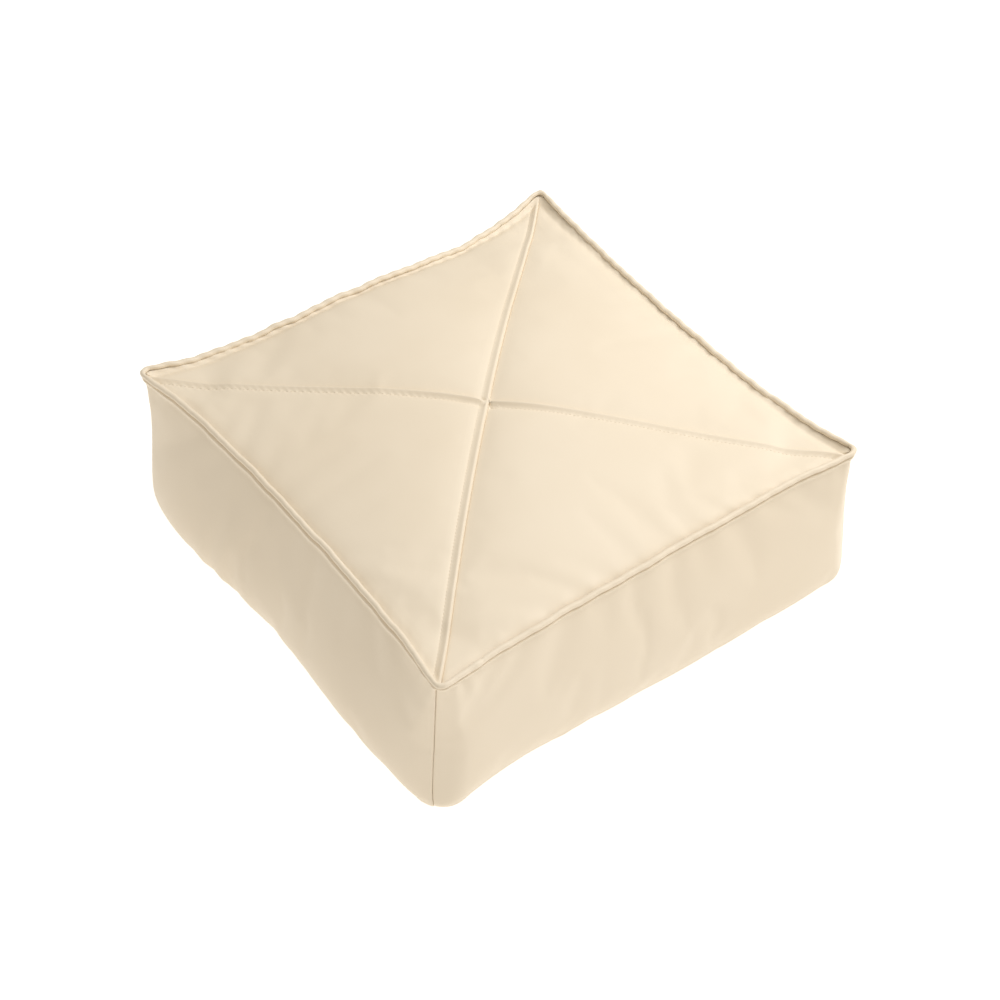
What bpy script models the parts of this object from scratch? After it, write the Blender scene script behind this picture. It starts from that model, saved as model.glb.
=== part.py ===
"""Square boxed floor cushion with a removable leather-look cover.

The cover is four top triangles, three plain side panels, a back side split for a zip, a base panel and a
self-covered piping round the top edge. Inside are a liner bag, a wadding layer and a two-layer foam core.
Origin: centre of the base, on the floor. +Z up, the zip is on the +Y side. Units: metres.
"""

import math

import bmesh
import bpy
from mathutils import Vector

# ---- driving dimensions -------------------------------------------------------------------------------
SIDE = 0.550            # top corner to top corner along one side
HEIGHT = 0.200          # floor to the top corners
CROWN = 0.024           # rise of the top's middle over its corners
EDGE_SAG = 0.007        # drop of a top edge's middle under the corners
EDGE_PULL_IN = 0.011    # how far a top edge's middle is drawn inwards
SIDE_BULGE = 0.024      # how far a side panel's middle stands out
BASE_FLARE = 0.014      # how far the lower body stands outside the top corners
BASE_RADIUS = 0.018     # rounding from the sides into the base
BULGE_LOW = 0.7         # power of the rise: below 1 puts the fullest place under mid-height
COVER = 0.0015          # cover cloth thickness
GAP = 0.0003            # clearance between touching pieces

PIPING_RADIUS = 0.0034
PIPING_WALL = 0.0008
PIPING_MOUTH = 64       # degrees left open on the strip's seam side
PIPING_CORNER = 0.010   # bend radius of the piping at the top corners
PIPING_LIFT = 0.0010    # piping centre above the top edge line
PIPING_SET_IN = 0.0005  # piping centre inside the top edge line
PIPING_ROOM = 0.0008    # clearance between the piping and the edges of the panels it is sewn to
CORNER_TRIM = 0.0088    # cut off the top panels' corners, where the piping turns

LINER = 0.0008
LINER_INSET = 0.0078    # room between the cover's outside and the liner, which also holds the zip
LINER_TOP_SHARE = 0.992  # liner top's and base's share of the width inside the side band
LINER_BASE_SHARE = 0.996
FILL_INSET = LINER_INSET + LINER + 0.0022
FOAM_SPLIT = 0.58       # share of the height at which the soft foam lies on the firm foam
WADDING_SPLIT = 0.91    # share of the height at which the wadding lies on the soft foam

ZIP_HEIGHT = 0.098      # zip line above the floor
ZIP_HALF_LENGTH = 0.212
ZIP_SLOT_HALF = 0.0050  # half the open height between the two back strips
ZIP_PLANE = 0.0243      # the strips' outside at the zip, outside the top corners
ZIP_FLAT = 0.020        # flat height above and below the zip line
ZIP_BLEND = 0.028       # height over which the flat band fades into the bulge
ZIP_MARGIN = 0.020      # flat length past each end of the zip
ZIP_SLOT_TAPER = 0.014  # length over which the slot closes past each end of the zip
TAPE_THICKNESS = 0.0006
TAPE_WIDTH = 0.0130
TAPE_OVERRUN = 0.010    # tape past each end of the coils
COIL_THICKNESS = 0.0024
COIL_WIDTH = 0.0023
COIL_SPLIT = 0.0007     # half the space between the coils, where the slider's post runs
STOP = (0.0024, 0.0008, 0.0066)
STOP_GAP = 0.0006       # slider to stop at each end of the travel

SLIDER_TRAVEL = 0.392
SLIDER_LENGTH = 0.0120
SLIDER_HALF_HEIGHT = 0.0044
SLIDER_PLATE = 0.0011
SLIDER_RIM = 0.0007     # lip along the front plate's long edges, towards the coils
SLIDER_POST = 0.0040
POST_AHEAD = 0.0035     # post's middle ahead of the slider's middle
LUG = (0.0030, 0.0040, 0.0010)
LUG_SPREAD = 0.0022     # a lug's middle above or below the zip line
PIN_RADIUS = 0.0008
PIN_LENGTH = 0.0050
PIN_OUT = 0.0022        # pin's axis in front of the front plate
PULL_LENGTH = 0.0300
PULL_WIDTH = 0.0080
PULL_THICKNESS = 0.0014
PULL_LIFT = 0.0004      # tongue's middle in front of the pin's axis
PULL_NECK = 0.0028      # width of the neck and of the eye it ends in
NECK_LENGTH = 0.0030
EYE_WALL = 0.0009

# ---- values worked out from them ----------------------------------------------------------------------
HALF = SIDE / 2
ROUND_SHARE = 0.12      # share of a side panel's run that is the base rounding
ZIP_Y = HALF + ZIP_PLANE
TAPE_Y = ZIP_Y - COVER - GAP - TAPE_THICKNESS / 2
SLIDER_REST_X = SLIDER_TRAVEL / 2
COIL_FACE = COIL_THICKNESS / 2 + GAP
PIN_OFFSET = COIL_FACE + SLIDER_PLATE + PIN_OUT     # pin's axis in front of the tapes' middle
FLAT_TOP = HEIGHT - EDGE_SAG
SIDE_RUNS = (0.0, 0.04, 0.08, 0.12, 0.15, 0.20, 0.28, 0.38, 0.50, 0.64, 0.80, 0.92, 1.0)
LINER_RUNS = (0.0, 0.04, 0.08, 0.12, 0.16, 0.23, 0.34, 0.48, 0.64, 0.82, 1.0)

# ---- colours (linear) and finishes --------------------------------------------------------------------
CREAM = (0.760, 0.690, 0.560)
CREAM_SHADE = (0.700, 0.625, 0.495)
LINER_WHITE = (0.860, 0.850, 0.820)
FOAM_SOFT = (0.900, 0.880, 0.780)
FOAM_FIRM = (0.780, 0.800, 0.820)
FIBRE_WHITE = (0.930, 0.930, 0.920)
ZINC = (0.620, 0.610, 0.580)


def clear_scene():
    """Empty the scene so that the script starts from nothing."""
    for obj in list(bpy.data.objects):
        bpy.data.objects.remove(obj, do_unlink=True)


def material(name, colour, roughness, metallic=0.0):
    """A Principled material, made once and shared."""
    found = bpy.data.materials.get(name)
    if found:
        return found
    made = bpy.data.materials.new(name)
    made.use_nodes = True
    shader = made.node_tree.nodes["Principled BSDF"]
    shader.inputs["Base Color"].default_value = (*colour, 1.0)
    shader.inputs["Roughness"].default_value = roughness
    shader.inputs["Metallic"].default_value = metallic
    made.diffuse_color = (*colour, 1.0)
    return made


def add_object(name, data, finish, parent=None):
    """Link data as a named object with its material."""
    obj = bpy.data.objects.new(name, data)
    obj.data.materials.append(finish)
    bpy.data.collections["floor_cushion"].objects.link(obj)
    obj.parent = parent
    return obj


def as_guide(obj):
    """Move an object that only shapes others out of the cushion's collection."""
    for collection in list(obj.users_collection):
        collection.objects.unlink(obj)
    bpy.data.collections["guides"].objects.link(obj)
    obj.hide_render = True
    obj.display_type = "WIRE"
    return obj


def mesh_object(name, bm, finish, parent=None):
    """Turn a bmesh into a named object."""
    data = bpy.data.meshes.new(name)
    bm.normal_update()
    bm.to_mesh(data)
    bm.free()
    return add_object(name, data, finish, parent)


def thicken(obj, thickness):
    """Give an open sheet its thickness, inwards from its outer face."""
    solid = obj.modifiers.new("thickness", "SOLIDIFY")
    solid.thickness = thickness
    solid.offset = -1.0
    solid.use_even_offset = True
    return obj


def smooth_step(edge_low, edge_high, value):
    """0 below edge_low, 1 above edge_high, smooth between."""
    share = min(1.0, max(0.0, (value - edge_low) / (edge_high - edge_low)))
    return share * share * (3.0 - 2.0 * share)


# ---- the cushion's outer form -------------------------------------------------------------------------
def top_height(u, v):
    """Height of the top surface; u and v run from -1 to 1 across the cushion."""
    sag = (1 - u * u) * v * v + (1 - v * v) * u * u
    crown = (1 - u ** 4) * (1 - v ** 4)
    return HEIGHT - EDGE_SAG * sag + CROWN * crown


def half_width(run, along):
    """Half the cushion's width at run (0 base seam, 1 top edge) and at a place along the side."""
    if run < ROUND_SHARE:
        turn = run / ROUND_SHARE * math.pi / 2
        return HALF + BASE_FLARE - BASE_RADIUS * (1 - math.sin(turn))
    rise = (run - ROUND_SHARE) / (1 - ROUND_SHARE)
    pull_in = EDGE_PULL_IN * (1 - along * along)
    lean = BASE_FLARE * (1 - rise) - pull_in * rise
    bulge = SIDE_BULGE * (1 - along ** 6) * math.sin(math.pi * rise ** BULGE_LOW)
    return HALF + lean + bulge


def run_height(run, top):
    """Height above the floor at run, under a top surface at height top."""
    if run < ROUND_SHARE:
        turn = run / ROUND_SHARE * math.pi / 2
        return BASE_RADIUS * (1 - math.cos(turn))
    return BASE_RADIUS + (run - ROUND_SHARE) / (1 - ROUND_SHARE) * (top - BASE_RADIUS)


def run_at(height):
    """The run that lies at a height on the back side."""
    return ROUND_SHARE + (height - BASE_RADIUS) / (HEIGHT - EDGE_SAG - BASE_RADIUS) * (1 - ROUND_SHARE)


def cushion_point(u, v, run, inset=0.0, top=None):
    """A point of the cushion's form: u and v across it, run up it, inset from its outside."""
    top = top or top_height(u, v)
    x = u * (half_width(run, v) - inset)
    y = v * (half_width(run, u) - inset)
    z = inset + run_height(run, top) * (top - 2 * inset) / top
    return Vector((x, y, z))


# ---- cover --------------------------------------------------------------------------------------------
def sheet(columns, rows, place):
    """A rectangular grid whose point (column, row) goes to place(column, row)."""
    bm = bmesh.new()
    bmesh.ops.create_grid(bm, x_segments=columns, y_segments=rows, size=1.0)
    for vert in bm.verts:
        column = round((vert.co.x + 1) / 2 * columns)
        row = round((vert.co.y + 1) / 2 * rows)
        vert.co = place(column, row)
    return bm


def turned(point, quarter):
    """A point turned about the vertical axis by a number of quarter turns."""
    x, y, z = point
    for _ in range(quarter):
        x, y = -y, x
    return Vector((x, y, z))


def top_panel(name, quarter, finish):
    """One triangle of the top: the front one, turned by quarter turns."""
    cells = 12
    seam = GAP / HALF
    inner = (PIPING_SET_IN + PIPING_RADIUS + PIPING_ROOM) / HALF
    corner = 1.0 - CORNER_TRIM / HALF
    bm = bmesh.new()
    bmesh.ops.create_grid(bm, x_segments=cells, y_segments=cells, size=1.0 - inner)
    cuts = (
        (Vector((0, -seam, 0)), Vector((1, 1, 0))),
        (Vector((0, -seam, 0)), Vector((-1, 1, 0))),
        (Vector((corner, -corner, 0)), Vector((1, -1, 0))),
        (Vector((-corner, -corner, 0)), Vector((-1, -1, 0))),
    )
    for point, normal in cuts:
        everything = bm.verts[:] + bm.edges[:] + bm.faces[:]
        bmesh.ops.bisect_plane(bm, geom=everything, plane_co=point, plane_no=normal, clear_outer=True)
    for vert in bm.verts:
        u, v, _ = turned((vert.co.x, vert.co.y, 0.0), quarter)
        vert.co = cushion_point(u, v, 1.0)
    bmesh.ops.remove_doubles(bm, verts=bm.verts, dist=0.0002)
    return thicken(mesh_object(name, bm, finish), COVER)


def side_point(quarter, along, run, reach=1.0):
    """A point of a side's outer face; the top row stops just under the piping."""
    u, v, _ = turned((along * reach, -1.0, 0.0), quarter)
    point = cushion_point(u, v, run)
    if run == 1.0:
        point.z -= PIPING_RADIUS - PIPING_LIFT + PIPING_ROOM
    if quarter == 2:
        near = smooth_step(ZIP_FLAT + ZIP_BLEND, ZIP_FLAT, abs(point.z - ZIP_HEIGHT))
        span = smooth_step(HALF - ZIP_MARGIN / 3, ZIP_HALF_LENGTH + ZIP_MARGIN, abs(point.x))
        point.y += (ZIP_Y - point.y) * near * span
    return point


def side_panel(name, quarter, finish):
    """A plain side panel. Left and right ones stop behind the front and back ones."""
    columns = 12
    reach = 1.0 if quarter % 2 == 0 else 1.0 - (COVER + 2 * GAP) / HALF

    def place(column, row):
        return side_point(quarter, column / columns * 2 - 1, SIDE_RUNS[row], reach)

    return thicken(mesh_object(name, sheet(columns, len(SIDE_RUNS) - 1, place), finish), COVER)


def slot_half(x):
    """Half the open height between the back strips: open along the zip, closed beyond it."""
    closed = smooth_step(ZIP_HALF_LENGTH, ZIP_HALF_LENGTH + ZIP_SLOT_TAPER, abs(x))
    return ZIP_SLOT_HALF + (GAP - ZIP_SLOT_HALF) * closed


def back_strip(name, upper, finish):
    """The upper or lower half of the back side, with its long edge on the zip."""
    columns = 22
    sign = 1 if upper else -1
    flat = (ZIP_SLOT_HALF, 0.012, ZIP_FLAT, 0.029, 0.040)
    if upper:
        runs = (0.82, 0.92, 1.0)
    else:
        runs = (0.0, 0.04, 0.08, 0.12, 0.15, 0.20)

    def place(column, row):
        along = column / columns * 2 - 1
        step = row if upper else len(flat) + len(runs) - 1 - row
        if step >= len(flat):
            return side_point(2, along, runs[step - len(flat)] if upper else runs[row])
        height = ZIP_HEIGHT + sign * flat[step]
        point = side_point(2, along, run_at(height))
        if step == 0:
            height = ZIP_HEIGHT + sign * slot_half(point.x)
            point = side_point(2, along, run_at(height))
        point.z = height
        return point

    strip = sheet(columns, len(flat) + len(runs) - 1, place)
    return thicken(mesh_object(name, strip, finish), COVER)


def base_panel(finish):
    """The flat underside, inside the rounded lower edge."""
    cells = 8
    reach = 1.0 - 2 * GAP / HALF

    def place(column, row):
        return cushion_point((column / cells * 2 - 1) * reach, (row / cells * 2 - 1) * reach, 0.0)

    bm = sheet(cells, cells, place)
    bmesh.ops.reverse_faces(bm, faces=bm.faces)
    return thicken(mesh_object("base_panel", bm, finish), COVER)


# ---- piping -------------------------------------------------------------------------------------------
def piping_path():
    """Centre line of the piping: the four top edges joined by round corners."""
    straight = 7
    turn_steps = 4
    points = []
    stop = 1.0 - (PIPING_CORNER + PIPING_SET_IN) / HALF
    centre = HALF - PIPING_SET_IN - PIPING_CORNER
    for quarter in range(4):
        for step in range(straight + 1):
            along = (step / straight * 2 - 1) * stop
            edge = cushion_point(along, -1.0, 1.0)
            inwards = Vector((0, PIPING_SET_IN, PIPING_LIFT))
            points.append(turned(Vector((along * HALF, edge.y, edge.z)) + inwards, quarter))
        height = points[-1].z
        for step in range(1, turn_steps):
            angle = -math.pi / 2 + step / turn_steps * math.pi / 2
            x = centre + PIPING_CORNER * math.cos(angle)
            y = -centre + PIPING_CORNER * math.sin(angle)
            points.append(turned(Vector((x, y, height)), quarter))
    return points


def closed_curve(name, points):
    """A closed poly curve through the points."""
    curve = bpy.data.curves.new(name, "CURVE")
    curve.dimensions = "3D"
    curve.twist_mode = "Z_UP"
    spline = curve.splines.new("POLY")
    spline.points.add(len(points) - 1)
    for target, point in zip(spline.points, points):
        target.co = (*point, 1.0)
    spline.use_cyclic_u = True
    return curve


def piping_section():
    """C-shaped section of the folded piping strip, open towards the seam inside the cushion."""
    half_mouth = math.radians(PIPING_MOUTH / 2)
    facing = math.radians(-135)
    steps = 7
    outer = []
    inner = []
    for step in range(steps + 1):
        angle = facing + half_mouth + step / steps * (2 * math.pi - 2 * half_mouth)
        direction = Vector((math.cos(angle), math.sin(angle), 0))
        outer.append(direction * PIPING_RADIUS)
        inner.append(direction * (PIPING_RADIUS - PIPING_WALL))
    return inner + outer[::-1]


def piping(finish, cord_finish):
    """The piping strip, folded round its filler cord."""
    section = bpy.data.objects.new("piping_section", closed_curve("piping_section", piping_section()))
    section.data.dimensions = "2D"
    as_guide(section)
    cover = closed_curve("piping_cover", piping_path())
    cover.bevel_mode = "OBJECT"
    cover.bevel_object = section
    add_object("piping_cover", cover, finish)
    cord = closed_curve("piping_cord", piping_path())
    cord.bevel_depth = PIPING_RADIUS - PIPING_WALL - GAP
    cord.bevel_resolution = 1
    add_object("piping_cord", cord, cord_finish)


# ---- zip ----------------------------------------------------------------------------------------------
def block(name, centre, size, finish, parent=None, bevel=0.0):
    """A box with rounded edges, built at its own centre."""
    bm = bmesh.new()
    bmesh.ops.create_cube(bm, size=1.0)
    for vert in bm.verts:
        vert.co = Vector([c * s for c, s in zip(vert.co, size)])
    obj = mesh_object(name, bm, finish, parent)
    obj.location = centre
    if bevel:
        rounding = obj.modifiers.new("rounding", "BEVEL")
        rounding.width = bevel
        rounding.segments = 1
    return obj


def zip_tapes_and_coils(tape_finish, coil_finish):
    """The two tapes behind the back strips and the two coils between them."""
    length = 2 * (ZIP_HALF_LENGTH + TAPE_OVERRUN)
    for side, sign in (("upper", 1), ("lower", -1)):
        coil_z = ZIP_HEIGHT + sign * (COIL_SPLIT + COIL_WIDTH / 2)
        coil_size = (2 * ZIP_HALF_LENGTH, COIL_THICKNESS, COIL_WIDTH)
        block(f"zip_coil_{side}", (0, TAPE_Y, coil_z), coil_size, coil_finish, bevel=0.0005)
        tape_z = ZIP_HEIGHT + sign * (COIL_SPLIT + COIL_WIDTH + GAP + TAPE_WIDTH / 2)
        block(f"zip_tape_{side}", (0, TAPE_Y, tape_z), (length, TAPE_THICKNESS, TAPE_WIDTH), tape_finish)


def zip_stops(finish):
    """A stop just past each end of the slider's travel, clamped across the coils' ends."""
    reach = SLIDER_TRAVEL / 2 + SLIDER_LENGTH / 2 + STOP_GAP + STOP[0] / 2
    for name, sign in (("closed_end", 1), ("open_end", -1)):
        centre = (sign * reach, TAPE_Y + COIL_FACE + STOP[1] / 2, ZIP_HEIGHT)
        block(f"zip_stop_{name}", centre, STOP, finish, bevel=0.0002)


def combined(target, piece, operation="UNION"):
    """Join a piece to a target, or cut it out of it, and keep the piece as a guide."""
    change = target.modifiers.new(operation.lower(), "BOOLEAN")
    change.operation = operation
    change.solver = "EXACT"
    change.object = as_guide(piece)


def round_bar(name, radius, length, segments, finish, parent):
    """A round bar along the zip's height direction, centred on its parent."""
    bm = bmesh.new()
    bmesh.ops.create_cone(bm, cap_ends=True, segments=segments, radius1=radius, radius2=radius, depth=length)
    return mesh_object(name, bm, finish, parent)


def zip_slider(finish, holder):
    """The slider: front and back plates joined by a post, side rims and a pin on two lugs."""
    front_y = COIL_FACE + SLIDER_PLATE / 2
    plate = (SLIDER_LENGTH, SLIDER_PLATE, 2 * SLIDER_HALF_HEIGHT)
    body = block("zip_slider", (0, front_y, 0), plate, finish, holder, bevel=0.0004)
    combined(body, block("slider_back_plate", (0, -front_y, 0), plate, finish, holder, bevel=0.0004))
    post = (SLIDER_POST, 2 * front_y, 2 * (COIL_SPLIT - GAP))
    combined(body, block("slider_post", (POST_AHEAD, 0, 0), post, finish, holder))
    rim = (SLIDER_LENGTH - 2 * SLIDER_RIM, SLIDER_RIM + SLIDER_PLATE / 2, SLIDER_RIM)
    rim_y = COIL_FACE + SLIDER_PLATE / 2 - rim[1] / 2
    lug_y = COIL_FACE + SLIDER_PLATE / 2 + LUG[1] / 2
    for side, sign in (("upper", 1), ("lower", -1)):
        rim_z = sign * (SLIDER_HALF_HEIGHT - SLIDER_RIM / 2)
        combined(body, block(f"slider_rim_{side}", (0, rim_y, rim_z), rim, finish, holder))
        combined(body, block(f"slider_lug_{side}", (0, lug_y, sign * LUG_SPREAD), LUG, finish, holder))
    pin = round_bar("slider_pin", PIN_RADIUS, PIN_LENGTH, 24, finish, holder)
    pin.location = (0, PIN_OFFSET, 0)
    combined(body, pin)


def zip_pull(finish, holder):
    """The pull tab: a flat tongue with a round eye on the slider's pin, lying along the zip."""
    bore = PIN_RADIUS + GAP
    tongue_x = -bore - EYE_WALL - PULL_LENGTH / 2
    tongue = (PULL_LENGTH, PULL_THICKNESS, PULL_WIDTH)
    tab = block("zip_pull_tab", (tongue_x, PULL_LIFT, 0), tongue, finish, holder, bevel=0.0004)
    neck = (NECK_LENGTH, PULL_THICKNESS, PULL_NECK)
    combined(tab, block("pull_neck", (-bore - EYE_WALL / 2, PULL_LIFT, 0), neck, finish, holder))
    combined(tab, round_bar("pull_eye", bore + EYE_WALL, PULL_NECK, 32, finish, holder))
    combined(tab, round_bar("pull_eye_hole", bore, 2 * PULL_NECK, 32, finish, holder), "DIFFERENCE")


def zip_runner(finish):
    """The slider and its pull, each under an empty on its joint's axis."""
    slider_at = bpy.data.objects.new("slider_travel", None)
    slider_at.location = (SLIDER_REST_X, TAPE_Y, ZIP_HEIGHT)
    pull_at = bpy.data.objects.new("pull_pivot", None)
    pull_at.parent = slider_at
    pull_at.location = (0, PIN_OFFSET, 0)
    for empty in (slider_at, pull_at):
        bpy.data.collections["floor_cushion"].objects.link(empty)
    zip_slider(finish, slider_at)
    zip_pull(finish, pull_at)


# ---- liner and filling --------------------------------------------------------------------------------
def liner(finish):
    """The inner bag: a top sheet, a band round the sides and a base sheet."""
    cells = len(LINER_RUNS) - 1

    def flat_sheet(name, run, reach, flip):
        def place(column, row):
            u = (column / cells * 2 - 1) * reach
            v = (row / cells * 2 - 1) * reach
            return cushion_point(u, v, run, LINER_INSET)

        bm = sheet(cells, cells, place)
        if flip:
            bmesh.ops.reverse_faces(bm, faces=bm.faces)
        thicken(mesh_object(name, bm, finish), LINER)

    flat_sheet("liner_top", 1.0, LINER_TOP_SHARE, False)
    flat_sheet("liner_base", 0.0, LINER_BASE_SHARE, True)
    bm = bmesh.new()
    bmesh.ops.create_cube(bm, size=2.0)
    bmesh.ops.subdivide_edges(bm, edges=bm.edges, cuts=cells - 1, use_grid_fill=True)
    ends = [face for face in bm.faces if abs(face.normal.z) > 0.5]
    bmesh.ops.delete(bm, geom=ends, context="FACES")
    for vert in bm.verts:
        run = LINER_RUNS[round((vert.co.z + 1) / 2 * cells)]
        vert.co = cushion_point(vert.co.x, vert.co.y, run, LINER_INSET)
    thicken(mesh_object("liner_side_band", bm, finish), LINER)


def fill_layer(name, run_low, run_high, finish):
    """One layer of the filling: flat where it meets another layer, crowned where it ends at the top."""
    bm = bmesh.new()
    bmesh.ops.create_cube(bm, size=2.0)
    bmesh.ops.subdivide_edges(bm, edges=bm.edges, cuts=7, use_grid_fill=True)
    for vert in bm.verts:
        u, v, level = vert.co
        share = (level + 1) / 2
        run = run_low + share * (run_high - run_low)
        crown = share * (top_height(u, v) - FLAT_TOP) if run_high == 1.0 else 0.0
        vert.co = cushion_point(u, v, run, FILL_INSET, FLAT_TOP + crown)
    mesh_object(name, bm, finish)


def filling():
    """Foam core in two layers with fibre wadding over it."""
    clear = GAP / HEIGHT * 2
    fill_layer("foam_firm_layer", 0.0, FOAM_SPLIT, material("foam_firm", FOAM_FIRM, 0.95))
    fill_layer("foam_soft_layer", FOAM_SPLIT + clear, WADDING_SPLIT, material("foam_soft", FOAM_SOFT, 0.95))
    fill_layer("wadding_top", WADDING_SPLIT + clear, 1.0, material("wadding", FIBRE_WHITE, 1.0))


# ---- assembly -----------------------------------------------------------------------------------------
def build():
    """Make every piece of the cushion."""
    clear_scene()
    for name in ("floor_cushion", "guides"):
        collection = bpy.data.collections.new(name)
        bpy.context.scene.collection.children.link(collection)
    cover = material("cover_cloth", CREAM, 0.62)
    thread = material("zip_cloth", CREAM_SHADE, 0.8)
    metal = material("zip_metal", ZINC, 0.35, 1.0)
    for quarter, side in enumerate(("front", "right", "back", "left")):
        top_panel(f"top_panel_{side}", quarter, cover)
        if side != "back":
            side_panel(f"side_panel_{side}", quarter, cover)
    back_strip("back_strip_upper", True, cover)
    back_strip("back_strip_lower", False, cover)
    base_panel(cover)
    piping(cover, material("piping_filler", FIBRE_WHITE, 0.9))
    zip_tapes_and_coils(thread, material("zip_coil", CREAM_SHADE, 0.45))
    zip_stops(metal)
    zip_runner(metal)
    liner(material("liner", LINER_WHITE, 0.9))
    filling()


build()
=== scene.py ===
"""Looks for the square boxed floor cushion: its soft cover, piping, stitching, zip and filling.

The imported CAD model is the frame. Every soft piece here is shaped from one description of the stuffed
cushion, so that cover, liner, wadding and foam nest inside each other. Metres, +Z up.
"""

import math

import bpy
import numpy as np
from mathutils import Matrix, Vector


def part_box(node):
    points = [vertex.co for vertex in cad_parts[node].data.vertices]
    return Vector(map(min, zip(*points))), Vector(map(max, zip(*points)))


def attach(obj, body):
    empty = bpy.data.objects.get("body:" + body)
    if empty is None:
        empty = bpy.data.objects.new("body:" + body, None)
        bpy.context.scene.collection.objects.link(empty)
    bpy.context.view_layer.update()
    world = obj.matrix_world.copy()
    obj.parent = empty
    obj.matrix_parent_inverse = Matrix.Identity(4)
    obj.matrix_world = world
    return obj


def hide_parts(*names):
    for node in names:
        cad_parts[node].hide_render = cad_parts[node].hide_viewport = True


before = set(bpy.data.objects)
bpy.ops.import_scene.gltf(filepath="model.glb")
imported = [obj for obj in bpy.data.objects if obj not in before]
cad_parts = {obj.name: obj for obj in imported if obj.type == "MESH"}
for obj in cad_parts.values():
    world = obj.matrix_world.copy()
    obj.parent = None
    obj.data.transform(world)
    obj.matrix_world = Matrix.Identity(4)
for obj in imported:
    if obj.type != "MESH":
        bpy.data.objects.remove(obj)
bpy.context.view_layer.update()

MM = 0.001

# ---- sizes shared with the CAD model ----
COVER = 1.5 * MM
LINER = 0.8 * MM
PIPING_RADIUS = 3.4 * MM
PIPING_WALL = 0.8 * MM
PIPING_LIFT = 1.0 * MM
PIPING_SET_IN = 0.5 * MM
PIPING_PRESSED = 0.90   # share of its round size that the stretched piping keeps
PIPING_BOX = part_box("piping_cover")
HALF = PIPING_BOX[1][0] - PIPING_RADIUS + PIPING_SET_IN
HEIGHT = PIPING_BOX[1][2] - PIPING_RADIUS - PIPING_LIFT
BASE_RADIUS = 21 * MM
ROUND_SHARE = 0.12      # share of a wall's run that is the base rounding
ZIP_HEIGHT = sum(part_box("zip_slider")[end][2] for end in (0, 1)) / 2
ZIP_HALF_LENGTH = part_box("zip_coil_upper")[1][0]
ZIP_SLOT_HALF = 5 * MM
STRIP_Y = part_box("zip_tape_upper")[1][1] + 0.3 * MM + COVER

# ---- the stuffed form: per side (front, right, back, left) and per corner (L, F, R, B) ----
EDGE_PULL = np.array((11.5, 6.5, 7.5, 15.5)) * MM   # top edge's middle drawn in
EDGE_SAG = np.array((3.6, 8.0, 9.0, 8.0)) * MM      # top edge's middle below its ends
EDGE_SKEW = np.array((0.0, 0.1, -0.55, -0.55))        # which end the pull is nearer to
WALL_BULGE = np.array((28.0, 9.0, 18.0, 20.0)) * MM
BULGE_LOW = 0.56        # below 1 puts the bulge low down
BULGE_SPREAD = 8.0      # how far the bulge reaches towards the corners
CORNER_FLARE = np.array((11.0, 9.0, 24.0, 12.0)) * MM  # lower body outside the top corners
CORNER_EAR = np.array((9.0, 4.0, 6.0, 4.5)) * MM    # top corners drawn out by their seams
EAR_REACH = 0.16
EAR_DEPTH = 1.2         # power of the rise with which an ear fades down the wall
SIDE_POWER = 2.2        # how evenly a side's middle gives way
CORNER_FOOT = np.array((2.0, 11.0, -3.0, 0.0)) * MM   # bottom corners standing out as rounded feet
FOOT_REACH = 0.22
EDGE_WANDER = np.array((0.30, 0.35, 0.40, 0.55)) * MM   # small unevenness of the piped edge
WANDER_OUT = ((1.0, 17, 0.4), (0.8, 29, 2.1), (0.5, 47, 4.0))   # its waves: size, count round the edge, phase
WANDER_UP = ((1.0, 13, 1.2), (0.8, 31, 3.3), (0.6, 53, 0.7))
EDGE_WAVE = np.array((0.0, 0.0, 0.0, -6.0)) * MM     # long waves along the top edge and the base
BASE_WAVE = np.array((5.0, -1.0, 0.0, 0.0)) * MM
WALL_SEAMS = (-0.030, 1.978, 4.030, 6.0)     # places of the walls' corner seams
CORNER_RADIUS_TOP = 11 * MM
CORNER_RADIUS_LOW = 35 * MM
CROWN = 27 * MM
CROWN_POWER = 2.1
CROWN_TILT = 0.03       # fuller towards corner R
VALLEY_FB = (8 * MM, 34 * MM)   # depth and reach of the hollow along the front-to-back seam
VALLEY_LR = (2 * MM, 20 * MM)
VALLEY_SOFT = 3 * MM    # rounding of the bottom of both hollows
CORNER_HOLLOW = np.array((3.0, 3.0, 3.5, 5.0)) * MM   # dips inside the top corners
HOLLOW_PLACE, HOLLOW_REACH = 0.87, 0.12
WANDER = 8 * MM         # how far the front-to-back seam drifts sideways at the middle

# ---- sewing ----
BAND = 9.5 * MM         # seam to topstitching
STITCH_PITCH = 4.5 * MM
SQRT2 = math.sqrt(2.0)
SIDES = ("front", "right", "back", "left")
CORNERS = ((-1, -1), (1, -1), (1, 1), (-1, 1))      # signs of x and y at L, F, R and B
# Which edges of each top panel carry the turned seam allowance, at its left and right diagonal.
BAND_EDGES = ((True, True), (False, True), (False, False), (True, False))


def smooth_step(low, high, value):
    """0 below low, 1 above high, smooth between."""
    share = np.clip((value - low) / (high - low), 0.0, 1.0)
    return share * share * (3.0 - 2.0 * share)


def bump(distance, reach):
    """A bell: 1 at distance 0, fading over reach."""
    return np.exp(-((distance / reach) ** 2))


def profile(points, distance):
    """A smooth curve through (distance, height) points in millimetres, read at distances in metres."""
    at, height = np.array(points).T
    fine = np.linspace(at[0], at[-1], 400)
    line = np.interp(fine, at, height)
    kernel = np.hanning(9)
    padded = np.pad(line, 4, mode="edge")
    soft = np.convolve(padded, kernel / kernel.sum(), mode="valid")
    return np.interp(distance / MM, fine, soft) * MM


def wave(t):
    """One and a half waves along a side, from its one end (-1) to the other (1)."""
    return np.sin(1.5 * math.pi * (t + 1))


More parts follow.
